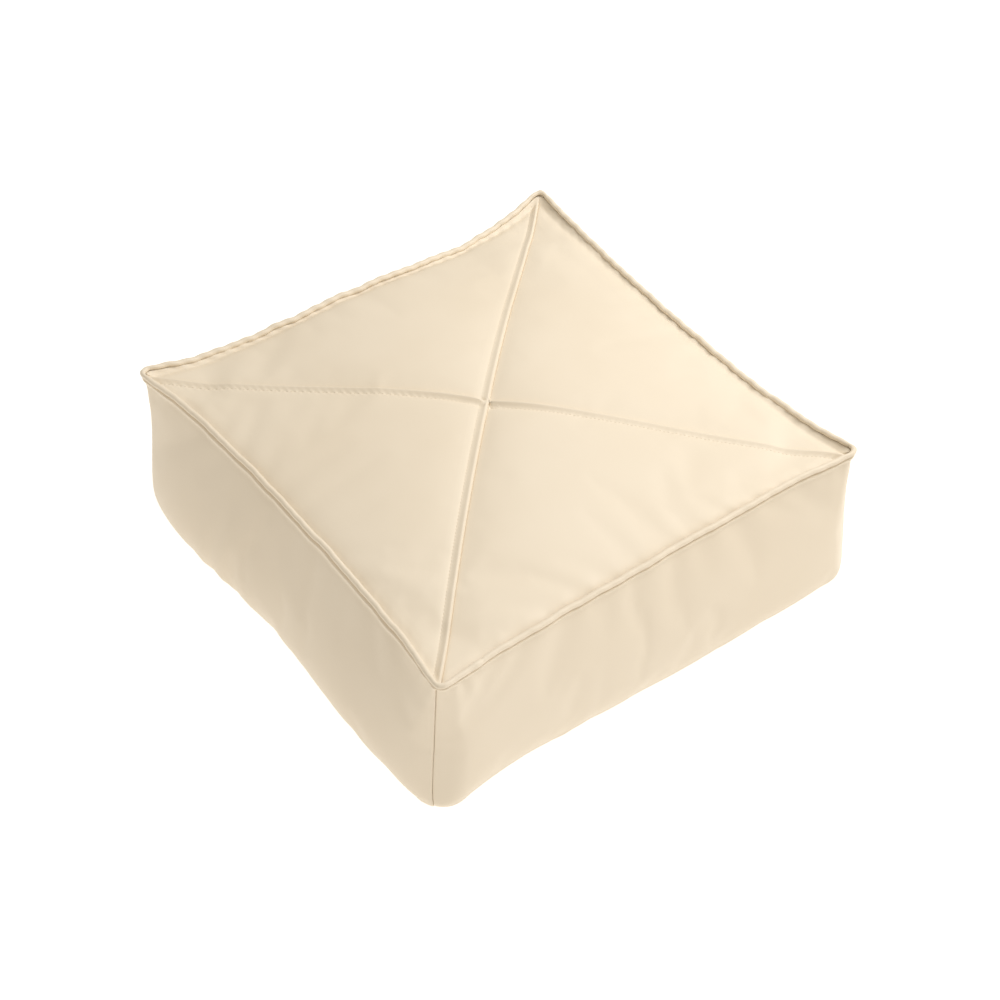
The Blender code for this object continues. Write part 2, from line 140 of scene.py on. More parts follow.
def turned(x, y, quarter):
    """Points turned about the vertical axis by quarter turns, given as an array."""
    quarter = np.asarray(quarter) % 4
    xs = np.choose(quarter, (x, -y, -x, y))
    ys = np.choose(quarter, (y, x, -y, -x))
    return xs, ys


def rounded(t, radius):
    """Along and outward shares of a unit square's side at t, with its corners rounded."""
    share = np.abs(t)
    over = np.clip((share - (1 - radius)) / np.maximum(radius, 1e-6), 0, 1) * math.pi / 4
    on_arc = share > 1 - radius
    along = np.where(on_arc, 1 - radius + radius * np.sin(over), share)
    out = np.where(on_arc, 1 - radius + radius * np.cos(over), 1.0)
    return np.sign(t) * along, out


def side_bell(side, t):
    """How strongly a side's middle gives way, 0 at its corners."""
    bell = (1 - np.abs(t) ** SIDE_POWER) * (1 + EDGE_SKEW[side] * t)
    return bell / (1 + 0.25 * EDGE_SKEW[side] ** 2)


# ---- creases from the cloth simulation ----
CREASE_CELLS = 64       # cells of the simulated cloth across the top, and along each side
CREASE_ROWS = 22        # its rows from the base seam up to the top edge
CREASE_FINE = 4         # finer steps that the creases are smoothed over for each cell
# "top": heights over v and u; "wall": outward amounts over run and place. Flat until the cloth is simulated.
creases = {"top": np.zeros((2, 2)), "wall": np.zeros((2, 2))}


def soften(grid, reach, axis, around=False):
    """A grid smoothed along one axis with a bell of the given reach in cells."""
    offsets = np.arange(-3 * reach, 3 * reach + 1)
    kernel = np.exp(-((offsets / reach) ** 2))
    kernel /= kernel.sum()
    pad = [(0, 0), (0, 0)]
    pad[axis] = (3 * reach, 3 * reach)
    padded = np.pad(grid, pad, mode="wrap" if around else "reflect")
    return np.apply_along_axis(lambda line: np.convolve(line, kernel, mode="valid"), axis, padded)


def finer(grid, around=False):
    """A grid with CREASE_FINE smooth steps for each of its cells. Around: its columns join up."""
    if around:
        grid = np.concatenate((grid, grid[:, :1]), axis=1)
    for axis in (0, 1):
        count = grid.shape[axis]
        fine = np.linspace(0, count - 1, (count - 1) * CREASE_FINE + 1)
        grid = np.apply_along_axis(lambda line: np.interp(fine, np.arange(count), line), axis, grid)
    if around:
        grid = grid[:, :-1]
    return soften(soften(grid, CREASE_FINE // 2, 0), CREASE_FINE // 2, 1, around)


def read_grid(grid, row, column):
    """Values between a grid's points; row and column are in its own steps."""
    row = np.clip(row, 0, grid.shape[0] - 1.001)
    column = np.clip(column, 0, grid.shape[1] - 1.001)
    low_row, low_column = row.astype(int), column.astype(int)
    up, across = row - low_row, column - low_column
    upper = grid[low_row, low_column] * (1 - across) + grid[low_row, low_column + 1] * across
    lower = grid[low_row + 1, low_column] * (1 - across) + grid[low_row + 1, low_column + 1] * across
    return upper * (1 - up) + lower * up


def top_crease(u, v):
    """Height of the creases at a place of the top."""
    size = creases["top"].shape[0] - 1
    return read_grid(creases["top"], (v + 1) / 2 * size, (u + 1) / 2 * size)


def wall_crease(place, run):
    """How far the creases stand a wall out."""
    rows, columns = creases["wall"].shape
    return read_grid(creases["wall"], run * (rows - 1), np.mod(place, 8) / 8 * (columns - 1))


# ---- walls ----
def at_corners(amounts, side, t, reach):
    """Amounts per corner, read along a side: each fades over reach from its corner."""
    return amounts[side] * bump(1 + t, reach) + amounts[(side + 1) % 4] * bump(1 - t, reach)


def apart(place, spot):
    """Distance along the walls from a spot to a place."""
    return (np.mod(place - spot + 4, 8) - 4) * HALF


def split_place(place):
    """Side number and place -1..1 along it, for a place 0..8 round the cushion that starts at corner L."""
    place = np.mod(place, 8.0)
    side = np.minimum(np.floor(place / 2).astype(int), 3)
    return side, place - 2 * side - 1


def edge_wobble(place):
    """How the sewn top edge wanders outwards and up between its stitches, in metres."""
    side, t = split_place(place)
    turn = np.mod(place, 8) / 8 * 2 * math.pi
    loose = EDGE_WANDER[side] * (1 - t ** 8)
    return [loose * sum(size * np.sin(count * turn + phase) for size, count, phase in parts)
            for parts in (WANDER_OUT, WANDER_UP)]


def wall_point(place, run, inset=0.0):
    """A point of the walls: place round the cushion, run up from the base seam (0) to the top edge (1)."""
    place, run = np.broadcast_arrays(place, run)
    side, t = split_place(place)
    rise = np.clip((run - ROUND_SHARE) / (1 - ROUND_SHARE), 0, 1)
    turn = np.clip(run / ROUND_SHARE, 0, 1) * math.pi / 2
    tuck = BASE_RADIUS * (1 - np.sin(turn))
    mix = smooth_step(-1, 1, t)
    ends = [HALF + CORNER_FLARE[(side + n) % 4] * (1 - rise) - tuck - inset for n in (0, 1)]
    lean = ends[0] * (1 - mix) + ends[1] * mix
    lean = lean + at_corners(CORNER_EAR, side, t, EAR_REACH) * rise ** EAR_DEPTH
    lean = lean + at_corners(CORNER_FOOT, side, t, FOOT_REACH) * (1 - rise) ** 2
    pull = EDGE_PULL[side] * side_bell(side, t) * rise ** 1.5
    bulge = WALL_BULGE[side] * (1 - np.abs(t) ** BULGE_SPREAD) ** 1.5 * np.sin(math.pi * rise ** BULGE_LOW)
    bulge = bulge + BASE_WAVE[side] * wave(t) * (1 - rise)
    radius = (CORNER_RADIUS_LOW + (CORNER_RADIUS_TOP - CORNER_RADIUS_LOW) * rise ** 3) / HALF
    along, out = rounded(t, radius)
    wobble_out, wobble_up = edge_wobble(place)
    at_edge = rise ** 10
    far = lean + bulge - pull + wall_crease(place, run) + wobble_out * at_edge
    x, y = turned(along * lean, -out * far, side)
    top = HEIGHT - EDGE_SAG[side] * side_bell(side, t) + EDGE_WAVE[side] * wave(t)
    z = BASE_RADIUS * (1 - np.cos(turn)) + rise * (top - BASE_RADIUS) + wobble_up * at_edge
    z = inset + z * (top - 2 * inset) / top
    return np.stack((x, y, z), axis=-1)


def wall_normal(place):
    """Outward direction in plan at a place round the cushion."""
    side, t = split_place(place)
    lean = np.sign(t) * smooth_step(1 - CORNER_RADIUS_LOW / HALF, 1.0, np.abs(t)) * math.pi / 4
    x, y = turned(np.sin(lean), -np.cos(lean), side)
    return np.stack((x, y, np.zeros_like(x)), axis=-1)


# ---- top ----
def ring_place(u, v):
    """Place round the cushion and ring out from its middle, for u, v from -1 to 1."""
    ring = np.maximum(np.maximum(np.abs(u), np.abs(v)), 1e-9)
    side = np.select([v <= -ring + 1e-9, u >= ring - 1e-9, v >= ring - 1e-9], [0, 1, 2], 3)
    along = np.choose(side, (u, v, -u, -v)) / ring
    return 2 * side + 1 + np.clip(along, -1, 1), ring


def relief(u, v):
    """Height of the stuffed top over its edges, with the hollows along its two seams."""
    full = (1 - np.abs(u) ** CROWN_POWER) * (1 - np.abs(v) ** CROWN_POWER)
    full = full * (1 + CROWN_TILT * (u + v))
    across_fb = np.abs(u + v) * HALF / SQRT2
    across_lr = np.abs(u - v) * HALF / SQRT2
    hollow = sum(depth * np.exp(-np.sqrt(across ** 2 + VALLEY_SOFT ** 2) / reach)
                 for across, (depth, reach) in ((across_fb, VALLEY_FB), (across_lr, VALLEY_LR)))
    dips = sum(depth * bump(sign_u * u - HOLLOW_PLACE, HOLLOW_REACH)
               * bump(sign_v * v - HOLLOW_PLACE, HOLLOW_REACH)
               for depth, (sign_u, sign_v) in zip(CORNER_HOLLOW, CORNERS))
    return full * (CROWN - hollow) - dips


def top_form(u, v):
    """A point of the top's form at u, v, each from -1 to 1, without sewing detail."""
    x, y = u * HALF, v * HALF
    z = HEIGHT + relief(u, v)
    for side, (near, along) in enumerate(((-v, u), (u, v), (v, -u), (-u, -v))):
        along, near = np.clip(along, -1, 1), ((1 + near) / 2) ** 3
        give = side_bell(side, along) * near
        inward_x, inward_y = turned(0.0, EDGE_PULL[side] * give, side)
        x, y = x + inward_x, y + inward_y
        z = z - EDGE_SAG[side] * give + EDGE_WAVE[side] * wave(along) * near
    for ear, (side_u, side_v) in zip(CORNER_EAR, CORNERS):
        push = ear * bump(1 - side_u * u, EAR_REACH) * bump(1 - side_v * v, EAR_REACH)
        x, y = x + side_u * push, y + side_v * push
    place, ring = ring_place(u, v)
    wobble_out, wobble_up = edge_wobble(place)
    at_edge = np.clip(ring, 0, 1) ** 30
    side, _ = split_place(place)
    aside, ahead = turned(np.zeros_like(x), -wobble_out * at_edge, side)
    x, y, z = x + aside, y + ahead, z + wobble_up * at_edge
    drift = WANDER / SQRT2 * (1 - u ** 4) * (1 - v ** 4)
    return np.stack((x - drift, y - drift, z + top_crease(u, v)), axis=-1)


def top_uv(panel, t, ring):
    """u, v of a top panel's point: t across it from one diagonal to the other, ring out from the centre."""
    along, out = rounded(t, CORNER_RADIUS_TOP / HALF * ring ** 8)
    return turned(along * ring, -out * ring, panel)


BAND_SHAPE = ((0, -0.3), (0.4, 0.6), (1.0, 1.35), (1.8, 1.9), (2.6, 2.05), (3.4, 1.85), (4.6, 1.15),
              (6.2, 0.2), (7.8, -0.5), (9.0, -0.9), (9.5, -1.0), (10.5, -0.6), (13, -0.2), (18, 0))
DITCH_SHAPE = ((0, -1.3), (0.5, -0.9), (1.3, -0.6), (2.5, -0.4), (5, -0.2), (9, -0.05), (15, 0))
BAND_ROLL = ((1.2, -2.9), (0.45, -2.6), (0.08, -1.8), (0.0, -1.0))
DITCH_ROLL = ((-1.5, -2.9), (-0.8, -2.3), (-0.3, -1.7), (0.0, -1.4))
# Fall of the top beside its piping, for the front, right, back and left panels.
EDGE_SHAPES = (
    ((2.4, -1.4), (3.2, -1.3), (4.5, -1.7), (6.5, -2.0), (9, -1.7), (14, -0.8), (22, -0.2), (32, 0)),
    ((2.4, -4.4), (3.4, -4.9), (4.4, -4.8), (6, -3.9), (8, -2.8), (11, -1.6), (15, -0.7), (22, -0.2),
     (30, 0)),
    ((2.4, 0.2), (3.6, 0.0), (5.5, -0.9), (7.5, -2.0), (9.5, -2.9), (11.5, -3.0), (15, -1.9), (20, -0.8),
     (30, 0)),
    ((2.4, 0.4), (3.6, 0.2), (5, -0.6), (7, -2.0), (9, -3.0), (11.5, -2.7), (14, -1.6), (19, -0.5), (28, 0)),
)
LR_FULL, LR_FAINT = 1.9, 0.95   # how strongly the left-to-right seam shows at the middle, and away from it
LR_REACH = 85 * MM      # how soon it weakens away from the middle
PUCKER_FB, PUCKER_LR = 0.05 * MM, 0.26 * MM     # height of the ripples that the stitches make
PUCKER_FROM = (30 * MM, 110 * MM)   # where they set in along the left-to-right seam
PUCKER_REACH = 3.5 * MM
UNDER_FB = (3 * MM, BAND + 1 * MM)  # how a band fades where it goes under the front-to-back seam's band
UNDER_DITCH = (0.5 * MM, 2.5 * MM)  # and on the seam's other side
EDGE_CLEAR = (2 * MM, 11 * MM)      # how all bands fade before the piping
GATHER_PITCH = 18 * MM  # spacing of the gathers beside the piping
GATHER_BAND = 6 * MM    # their distance from the edge, and reach
GATHERS = np.array((0.12, 0.18, 0.30, 0.80)) * MM    # their height, per side


def seam_distances(t, ring):
    """Distances from a top panel's two diagonals."""
    reach = ring * HALF / SQRT2
    return (1 + t) * reach, (1 - t) * reach


def pucker(along, off, pitch, reach):
    """Ripples square to a line of stitches, fading with distance off it."""
    return np.sin(2 * math.pi * along / pitch) * np.exp(-np.abs(off) / reach)


def sewn_height(panel, t, ring):
    """Height that the seams and edge of a top panel add to its form."""
    height = np.zeros_like(t)
    offs = seam_distances(t, ring)
    along = ring * HALF * SQRT2
    for number, off in enumerate(offs):
        is_fb = (panel, number) in ((0, 1), (1, 0), (2, 1), (3, 0))
        has_band = BAND_EDGES[panel][number]
        part = profile(BAND_SHAPE if has_band else DITCH_SHAPE, off)
        if not is_fb:
            part = part * (LR_FAINT + (LR_FULL - LR_FAINT) * bump(along, LR_REACH))
        if has_band:
            strength = PUCKER_FB if is_fb else PUCKER_LR * smooth_step(*PUCKER_FROM, along)
            pitch = STITCH_PITCH if is_fb else 2 * STITCH_PITCH
            part = part + strength * pucker(along, off - BAND, pitch, PUCKER_REACH)
        if not is_fb:
            part = part * smooth_step(*(UNDER_FB if panel in (0, 3) else UNDER_DITCH), offs[1 - number])
        height = height + part
    inward = (1 - ring) * HALF
    height = height * smooth_step(*EDGE_CLEAR, inward)
    gathered = GATHERS[panel] * (1 - t ** 6) * np.sin(2 * math.pi * (t * HALF + 0.4 * inward) / GATHER_PITCH)
    return height + profile(EDGE_SHAPES[panel], inward) + gathered * bump(inward - GATHER_BAND, GATHER_BAND)


def top_point(panel, t, ring):
    """A point of a top panel's outer face."""
    t, ring = np.broadcast_arrays(t, ring)
    u, v = top_uv(panel, t, ring)
    point = top_form(u, v)
    point[..., 2] += sewn_height(panel, t, ring)
    return point


# ---- mesh building ----
def mesh_piece(name, points, faces):
    """A smooth-shaded mesh object."""
    data = bpy.data.meshes.new(name)
    data.from_pydata(np.reshape(points, (-1, 3)).tolist(), [], faces)
    data.validate()
    data.shade_smooth()
    obj = bpy.data.objects.new(name, data)
    bpy.context.scene.collection.objects.link(obj)
    return obj


def square_grid(count):
    """u and v over a square, count cells each way."""
    line = np.linspace(-1, 1, count + 1)
    return np.meshgrid(line, line)


def numbered(points, start=0):
    """Vertex numbers for a 2D array of points."""
    return start + np.arange(points.shape[0] * points.shape[1]).reshape(points.shape[:2])


def joined(*parts):
    """One list of points from several arrays."""
    return np.concatenate([part.reshape(-1, 3) for part in parts])


def grid_faces(index):
    """Quads over a 2D array of vertex numbers."""
    quads = np.stack((index[:-1, :-1], index[1:, :-1], index[1:, 1:], index[:-1, 1:]), axis=-1)
    return quads.reshape(-1, 4).tolist()


def closed_up(index):
    """A 2D array of vertex numbers whose columns join up in a ring."""
    return np.concatenate((index, index[:, :1]), axis=1)


def thicken(obj, thickness):
    """Give a sheet its thickness, inwards from its outer face."""
    solid = obj.modifiers.new("thickness", "SOLIDIFY")
    solid.thickness = thickness
    solid.offset = -1.0
    solid.use_even_offset = False
    return obj


def finish_piece(obj, material, slot, *nodes):
    """Apply a piece's modifiers, give it its material, and let it ride and stand for its CAD nodes."""
    bpy.context.view_layer.update()
    if obj.modifiers:
        shape = bpy.data.meshes.new_from_object(obj.evaluated_get(bpy.context.evaluated_depsgraph_get()))
        obj.modifiers.clear()
        obj.data = shape
    obj.data.materials.clear()
    obj.data.materials.append(material)
    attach(obj, "cushion")
    if nodes:
        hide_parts(*nodes)
    return obj


def sheet_piece(name, points, thickness, material, slot, node):
    """A finished sheet over a 2D array of points, facing out where its columns run round the cushion."""
    obj = mesh_piece(name, points, grid_faces(numbered(points).T))
    return finish_piece(thicken(obj, thickness), material, slot, node)


def cover_piece(name, points, node):
    """A finished sheet of the cover."""
    return sheet_piece(name, points, COVER, leather, "cover_cloth", node)


# ---- cloth simulation ----
CREASE_MOST = 5 * MM    # the highest crease kept
TOP_CREASE, WALL_CREASE = 0.32, 0.42     # shares of the simulated creases that are kept
SEAM_HOLD, SEAM_WIDTH = 0.35, 0.03       # how firmly the top's seams pin the cloth, and how wide
CORNER_HOLD, CORNER_WIDTH = 0.5, 0.05    # the same at the walls' corner seams
CLOTH_FRAMES = 20
CLOTH = {"quality": 6, "mass": 0.5, "air_damping": 5, "tension_stiffness": 60, "compression_stiffness": 60,
         "shear_stiffness": 20, "bending_stiffness": 3, "shrink_min": -0.02, "use_pressure": True,
         "uniform_pressure_force": 4, "vertex_group_mass": "sewn"}


def cloth_shell():
    """The closed cover as one mesh: top grid, walls and base grid. Gives its points, faces and pinning."""
    cells = CREASE_CELLS
    u, v = square_grid(cells)
    top = top_form(u, v)
    place = np.arange(4 * cells) / cells * 2
    wall = wall_point(place[None, :], np.linspace(0, 1, CREASE_ROWS + 1)[:, None])
    ring_u, ring_v = turned(place % 2 - 1, -np.ones_like(place), (place // 2).astype(int))
    columns, rows = (np.rint((ring + 1) / 2 * cells).astype(int) for ring in (ring_u, ring_v))
    top_index = numbered(top)
    wall_index = numbered(wall, top_index.size)
    wall_index[-1] = top_index[rows, columns]
    top[rows, columns] = wall[-1]
    base_place, ring = ring_place(u, v)
    base = wall_point(base_place, 0.0)
    base[..., :2] *= ring[..., None]
    base_index = numbered(base, top_index.size + wall_index.size)
    base_index[rows, columns] = wall_index[0]
    faces = np.array(grid_faces(top_index.T) + grid_faces(closed_up(wall_index).T) + grid_faces(base_index))
    points = joined(top, wall, base)
    pinned = np.zeros(len(points))
    pinned[top_index] = np.maximum(bump(u - v, SEAM_WIDTH), bump(u + v, SEAM_WIDTH)) * SEAM_HOLD
    pinned[wall_index[1:-1]] = bump(np.mod(place + 1, 2) - 1, CORNER_WIDTH) * CORNER_HOLD
    pinned[base_index] = 1.0
    pinned[wall_index[-1]] = 1.0
    used = np.unique(faces)
    renumber = np.zeros(len(points), dtype=int)
    renumber[used] = np.arange(len(used))
    return points[used], renumber[faces].tolist(), pinned[used], renumber[top_index], renumber[wall_index]


def simulate_cover():
    """Let the cover, cut a little large and blown up, settle between its seams, and keep its creases."""
    points, faces, pinned, top_index, wall_index = cloth_shell()
    shell = mesh_piece("simulated_cover", points, faces)
    group = shell.vertex_groups.new(name="sewn")
    for weight in np.unique(np.round(pinned, 2)):
        if weight > 0:
            group.add(np.nonzero(np.round(pinned, 2) == weight)[0].tolist(), float(weight), "REPLACE")
    cloth = shell.modifiers.new("cloth", "CLOTH")
    for setting, value in CLOTH.items():
        setattr(cloth.settings, setting, value)
    cloth.settings.effector_weights.gravity = 0
    cloth.point_cache.frame_start = 1
    cloth.point_cache.frame_end = CLOTH_FRAMES
    scene = bpy.context.scene
    for frame_number in range(1, CLOTH_FRAMES + 1):
        scene.frame_set(frame_number)
    settled = shell.evaluated_get(bpy.context.evaluated_depsgraph_get()).data
    moved = np.empty(len(points) * 3, dtype=np.float32)
    settled.vertices.foreach_get("co", moved)
    moved = moved.reshape(-1, 3).astype(float) - points
    scene.frame_set(1)
    bpy.data.objects.remove(shell)
    place = np.arange(4 * CREASE_CELLS) / CREASE_CELLS * 2
    top = moved[top_index][..., 2]
    wall = (moved[wall_index] * wall_normal(place)[None]).sum(axis=-1)
    top = top - soften(soften(top, 5, 0), 5, 1)
    wall = wall - soften(soften(wall, 4, 0), 5, 1, True)
    low_high = (-CREASE_MOST, CREASE_MOST)
    creases["top"] = finer(np.clip(top, *low_high)) * TOP_CREASE
    wall = finer(np.clip(wall, *low_high), True) * WALL_CREASE
    creases["wall"] = np.concatenate((wall, wall[:, :1]), axis=1)


# ---- top panels ----
SEAM_COLUMNS = np.array((0.1, 0.3, 0.55, 0.85, 1.2, 1.7, 2.3, 3.1, 4.1, 5.3, 6.5, 7.7, 8.5, 9.1, 9.5, 9.9,
                         10.5, 11.5, 13.0, 15.0)) * MM
ROW_SPLIT = 4           # fine rows beside the seams for each row of the panel's middle
MIDDLE_COLUMNS = 170


def panel_rows():
    """Rings of a top panel, close together by the piping."""
    main = np.linspace(0.0, 1 - 14 * MM / HALF, 106)
    edge = 1 - np.array((12.4, 10.8, 9.2, 7.8, 6.5, 5.4, 4.6, 4.0, 3.5, 3.0, 2.4)) * MM / HALF
    return np.concatenate((main, edge))


def strip_squeeze(rings):
    """How far the fine strips beside the seams narrow towards the middle, and the seams' distance there."""
    room = SEAM_COLUMNS[-1] * SQRT2 + 6 * MM
    return np.clip(rings * HALF / room, 0, 1), np.maximum(rings * HALF / SQRT2, 1e-9)


def seam_strip(panel, number, rings):
    """Points of the fine strip along a diagonal of a top panel: rows out from the centre, columns inwards."""
    sign = 1 if number == 0 else -1
    squeeze, reach = strip_squeeze(rings)
    into = np.array(turned(sign / SQRT2, -1 / SQRT2, panel))
    columns = []
    for inwards, up in np.array(BAND_ROLL if BAND_EDGES[panel][number] else DITCH_ROLL) * MM:
        point = top_form(*top_uv(panel, np.full_like(rings, -sign * 1.0), rings))
        point[:, :2] += into * (inwards * squeeze)[:, None]
        point[:, 2] += up * np.minimum(1, squeeze * 1.5) + profile(EDGE_SHAPES[panel], (1 - rings) * HALF)
        columns.append(point)
    for distance in SEAM_COLUMNS:
        share = np.minimum(distance * squeeze / reach, 1.0)
        columns.append(top_point(panel, -sign * (1 - share), rings))
    return np.stack(columns, axis=1)


def top_panel(panel):
    """One sewn triangle of the top."""
    rings = panel_rows()
    fine = np.concatenate([np.linspace(a, b, ROW_SPLIT, endpoint=False) for a, b in zip(rings, rings[1:])]
                          + [rings[-1:]])
    left, right = (seam_strip(panel, number, fine) for number in (0, 1))
    squeeze, reach = strip_squeeze(rings)
    start = np.minimum(SEAM_COLUMNS[-1] * squeeze / reach, 1.0)
    share = np.arange(1, MIDDLE_COLUMNS) / MIDDLE_COLUMNS * 2 - 1
    middle = top_point(panel, share[None, :] * (1 - start)[:, None], rings[:, None])
    left_index = numbered(left)
    middle_index = numbered(middle, left_index.size)
    right_index = numbered(right, left_index.size + middle_index.size)
    faces = grid_faces(left_index) + grid_faces(middle_index) + grid_faces(right_index[:, ::-1])
    for row in range(len(rings) - 1):
        for edge, inner, flip in ((left_index[:, -1], middle_index[:, 0], False),
                                  (right_index[:, -1], middle_index[:, -1], True)):
            a = edge[row * ROW_SPLIT:(row + 1) * ROW_SPLIT + 1]
            b, c = inner[row], inner[row + 1]
            fan = [(a[0], a[1], b), (a[1], a[2], b), (a[2], c, b), (a[2], a[3], c), (a[3], a[4], c)]
            faces += [tuple(int(i) for i in (tri[::-1] if flip else tri)) for tri in fan]
    obj = mesh_piece(f"cover_top_{SIDES[panel]}", joined(left, middle, right), faces)
    obj.modifiers.new("weld", "WELD").merge_threshold = 0.02 * MM
    finish_piece(thicken(obj, COVER), leather, "cover_cloth", f"top_panel_{SIDES[panel]}")


# ---- walls and base ----
LIP_SHAPE = ((1.8, -3.0), (2.2, -2.0), (2.6, -0.6), (3.0, 0.7), (3.5, 1.6), (4.2, 2.1), (5.0, 1.9),
             (6.0, 1.2), (7.2, 0.4), (9, -0.3), (11, -0.4), (13, -0.15), (14, 0))
SEAM_PROUD = ((0, -1.1), (0.4, -0.3), (0.9, 0.4), (1.7, 0.7), (3, 0.5), (6, 0.2), (10, 0))
SEAM_DIVE = ((0, -1.3), (0.4, -0.9), (1.2, -0.6), (2.5, -0.4), (5, -0.2), (9, 0))
BASE_SEAM = ((0, 3.0), (0.6, 1.8), (1.5, 0.9), (3, 0.3), (5, 0))
SLOT_EDGE = ((0, -1.5), (0.4, -0.5), (1.0, 0.0), (2, 0.2), (5, 0.1), (6, -0.15), (7, 0.1), (9, 0))
SEAM_RANGE = 10 * MM    # how far a corner seam shapes the walls beside it
EASE_STEPS = (-0.05, -0.03, -0.01, 0.01, 0.03, 0.05)    # places averaged to round the form at a corner
EASE_REACH = 0.06
ZIP_FLAT = 30 * MM      # how far above and below the zip the back is drawn flat
ZIP_ENDS = (-8 * MM, 12 * MM)   # the flat part fades between these: from the corner, and from the zip's end
ROWS_PER_RUN = 75       # rows of a wall from its base to its top edge
PLAIN_COLUMNS = 190     # its columns between the close ones at its corner seams
SPLIT_RUN = 0.55        # where a plain wall's lower rows give way to its upper ones

# Folds that hang under the top corners: corner; distance along the walls, width, length and height in mm.
FOLDS = ((1, -11, 4, 22, 1.0), (1, -19, 5, 26, -1.0), (1, -28, 5, 30, 0.9), (1, -40, 7, 34, -0.6),
         (1, 14, 4, 20, -0.9), (1, 21, 4, 26, 1.1), (1, 29, 4, 24, -0.9), (1, 37, 5, 28, 0.9),
         (1, 48, 7, 30, -0.5), (2, -12, 4, 18, 0.9), (2, -20, 5, 26, -0.9), (2, -31, 7, 30, 0.7),
         (2, 15, 5, 24, 0.9), (2, 26, 6, 26, -0.8), (0, 13, 5, 24, 0.8), (0, 23, 6, 30, -0.8),
         (0, 36, 8, 36, 0.6), (0, -14, 5, 24, 0.8), (0, -25, 6, 26, -0.8), (3, 14, 5, 24, 0.8),
         (3, 26, 6, 28, -0.8), (3, -15, 5, 24, 0.8), (3, -27, 6, 28, -0.7))

# Soft folds that rise from the base: place round the cushion; width, depth of the top end and height in mm.
RISERS = ((0.47, 9, 120, -0.8), (0.56, 7, 95, 1.0), (0.63, 6, 80, -1.0), (0.70, 7, 75, 1.1),
          (0.78, 8, 90, -1.0), (0.87, 9, 110, 0.7), (2.62, 10, 110, 0.7), (2.74, 9, 100, -0.7),
          (3.30, 12, 120, 0.6), (6.6, 10, 100, 0.8), (6.75, 9, 90, -0.8), (5.2, 10, 110, 0.7),
          (5.35, 9, 120, -0.6))


def wall_depth(run):
    """Depth below the top edge at a run."""
    return (1 - run) / (1 - ROUND_SHARE) * (HEIGHT - BASE_RADIUS)


def wall_detail(place, run):
    """How far the seams and folds stand the walls out."""
    depth = wall_depth(run)
    deep = depth / MM
    detail = profile(LIP_SHAPE, np.clip(depth, 1.8 * MM, 14 * MM))
    fade = smooth_step(1 * MM, 9 * MM, depth)
    for corner, along, width, length, height in FOLDS:
        off = apart(place, 2 * corner) / MM
        hang = bump(deep - 4, length)
        detail = detail + height * MM * bump(off - along * (1 + 0.004 * deep), width) * hang * fade
    for spot, width, level, height in RISERS:
        off = apart(place, spot) / MM + 0.12 * (deep - level)
        detail = detail + height * MM * bump(off, width) * smooth_step(level - 40, level + 50, deep)
    for seam in WALL_SEAMS:
        off = apart(place, seam)
        near = np.where(off < 0, profile(SEAM_PROUD, np.minimum(-off, SEAM_RANGE)),
                        profile(SEAM_DIVE, np.minimum(off, 9 * MM)))
        detail = detail + np.where(np.abs(off) < SEAM_RANGE, near * fade, 0)
    return detail


def wall_face(place, run):
    """A point of a wall's outer face."""
    place, run = np.broadcast_arrays(place, run)
    point = wall_point(place, run)
    around = sum(wall_point(place + step, run) for step in EASE_STEPS) / len(EASE_STEPS)
    eased = bump(np.mod(place + 1, 2) - 1, EASE_REACH) * (1 - run ** 6)
    point = point + (around - point) * eased[..., None]
    side, _ = split_place(place)
    flat = bump(point[..., 2] - ZIP_HEIGHT, ZIP_FLAT)
    flat = flat * smooth_step(HALF + ZIP_ENDS[0], ZIP_HALF_LENGTH + ZIP_ENDS[1], np.abs(point[..., 0]))
    point[..., 1] += np.where(side == 2, (STRIP_Y - point[..., 1]) * flat, 0)
    point = point + wall_normal(place) * wall_detail(place, run)[..., None]
    from_seam = run / ROUND_SHARE * BASE_RADIUS * math.pi / 2
    point[..., 2] += profile(BASE_SEAM, np.minimum(from_seam, 5 * MM))
    return point


WALL_EDGE_ROWS = np.array((1.8, 2.2, 2.6, 3.0, 3.4, 3.8, 4.3, 4.8, 5.4, 6.2, 7.2, 8.5, 10, 12, 14.5)) * MM
SLOT_ROWS = np.array((0, 0.3, 0.6, 1.0, 1.5, 2.2, 3.2, 4.2, 5.0, 5.5, 6.0, 6.5, 7.2, 8.5, 10.5)) * MM


def run_at(height):
    """The run at a height above the base rounding."""
    return ROUND_SHARE + (height - BASE_RADIUS) / (HEIGHT - BASE_RADIUS) * (1 - ROUND_SHARE)


def top_runs(low):
    """Rows from a run up to the top edge, close together under the piping."""
    near = 1 - WALL_EDGE_ROWS / (HEIGHT - BASE_RADIUS) * (1 - ROUND_SHARE)
    return np.concatenate((np.linspace(low, near[-1], int((1 - low) * ROWS_PER_RUN))[:-1], near[::-1]))


def base_runs(high):
    """Rows from the base seam up to a run, close together at the seam."""
    near = np.array((0, 0.5, 1.1, 1.8, 2.8, 4.0)) * MM / (BASE_RADIUS * math.pi / 2) * ROUND_SHARE
    rounding = np.linspace(near[-1], ROUND_SHARE, 14)[1:]
    above = np.linspace(ROUND_SHARE, high, int((high - ROUND_SHARE) * ROWS_PER_RUN))[1:]
    return np.concatenate((near, rounding, above))


def wall_columns(side):
    """Columns of a wall, close together at its two corner seams."""
    start = WALL_SEAMS[side]
    stop = WALL_SEAMS[(side + 1) % 4] + (8 if side == 3 else 0)
    near = np.array((0.02, 0.4, 0.9, 1.5, 2.2, 3.0, 4.0, 5.2, 6.6, 8.3, 10.4)) * MM / HALF
    middle = np.linspace(start + near[-1], stop - near[-1], PLAIN_COLUMNS)
    return np.concatenate((start + near[:-1], middle, stop - near[:-1][::-1]))


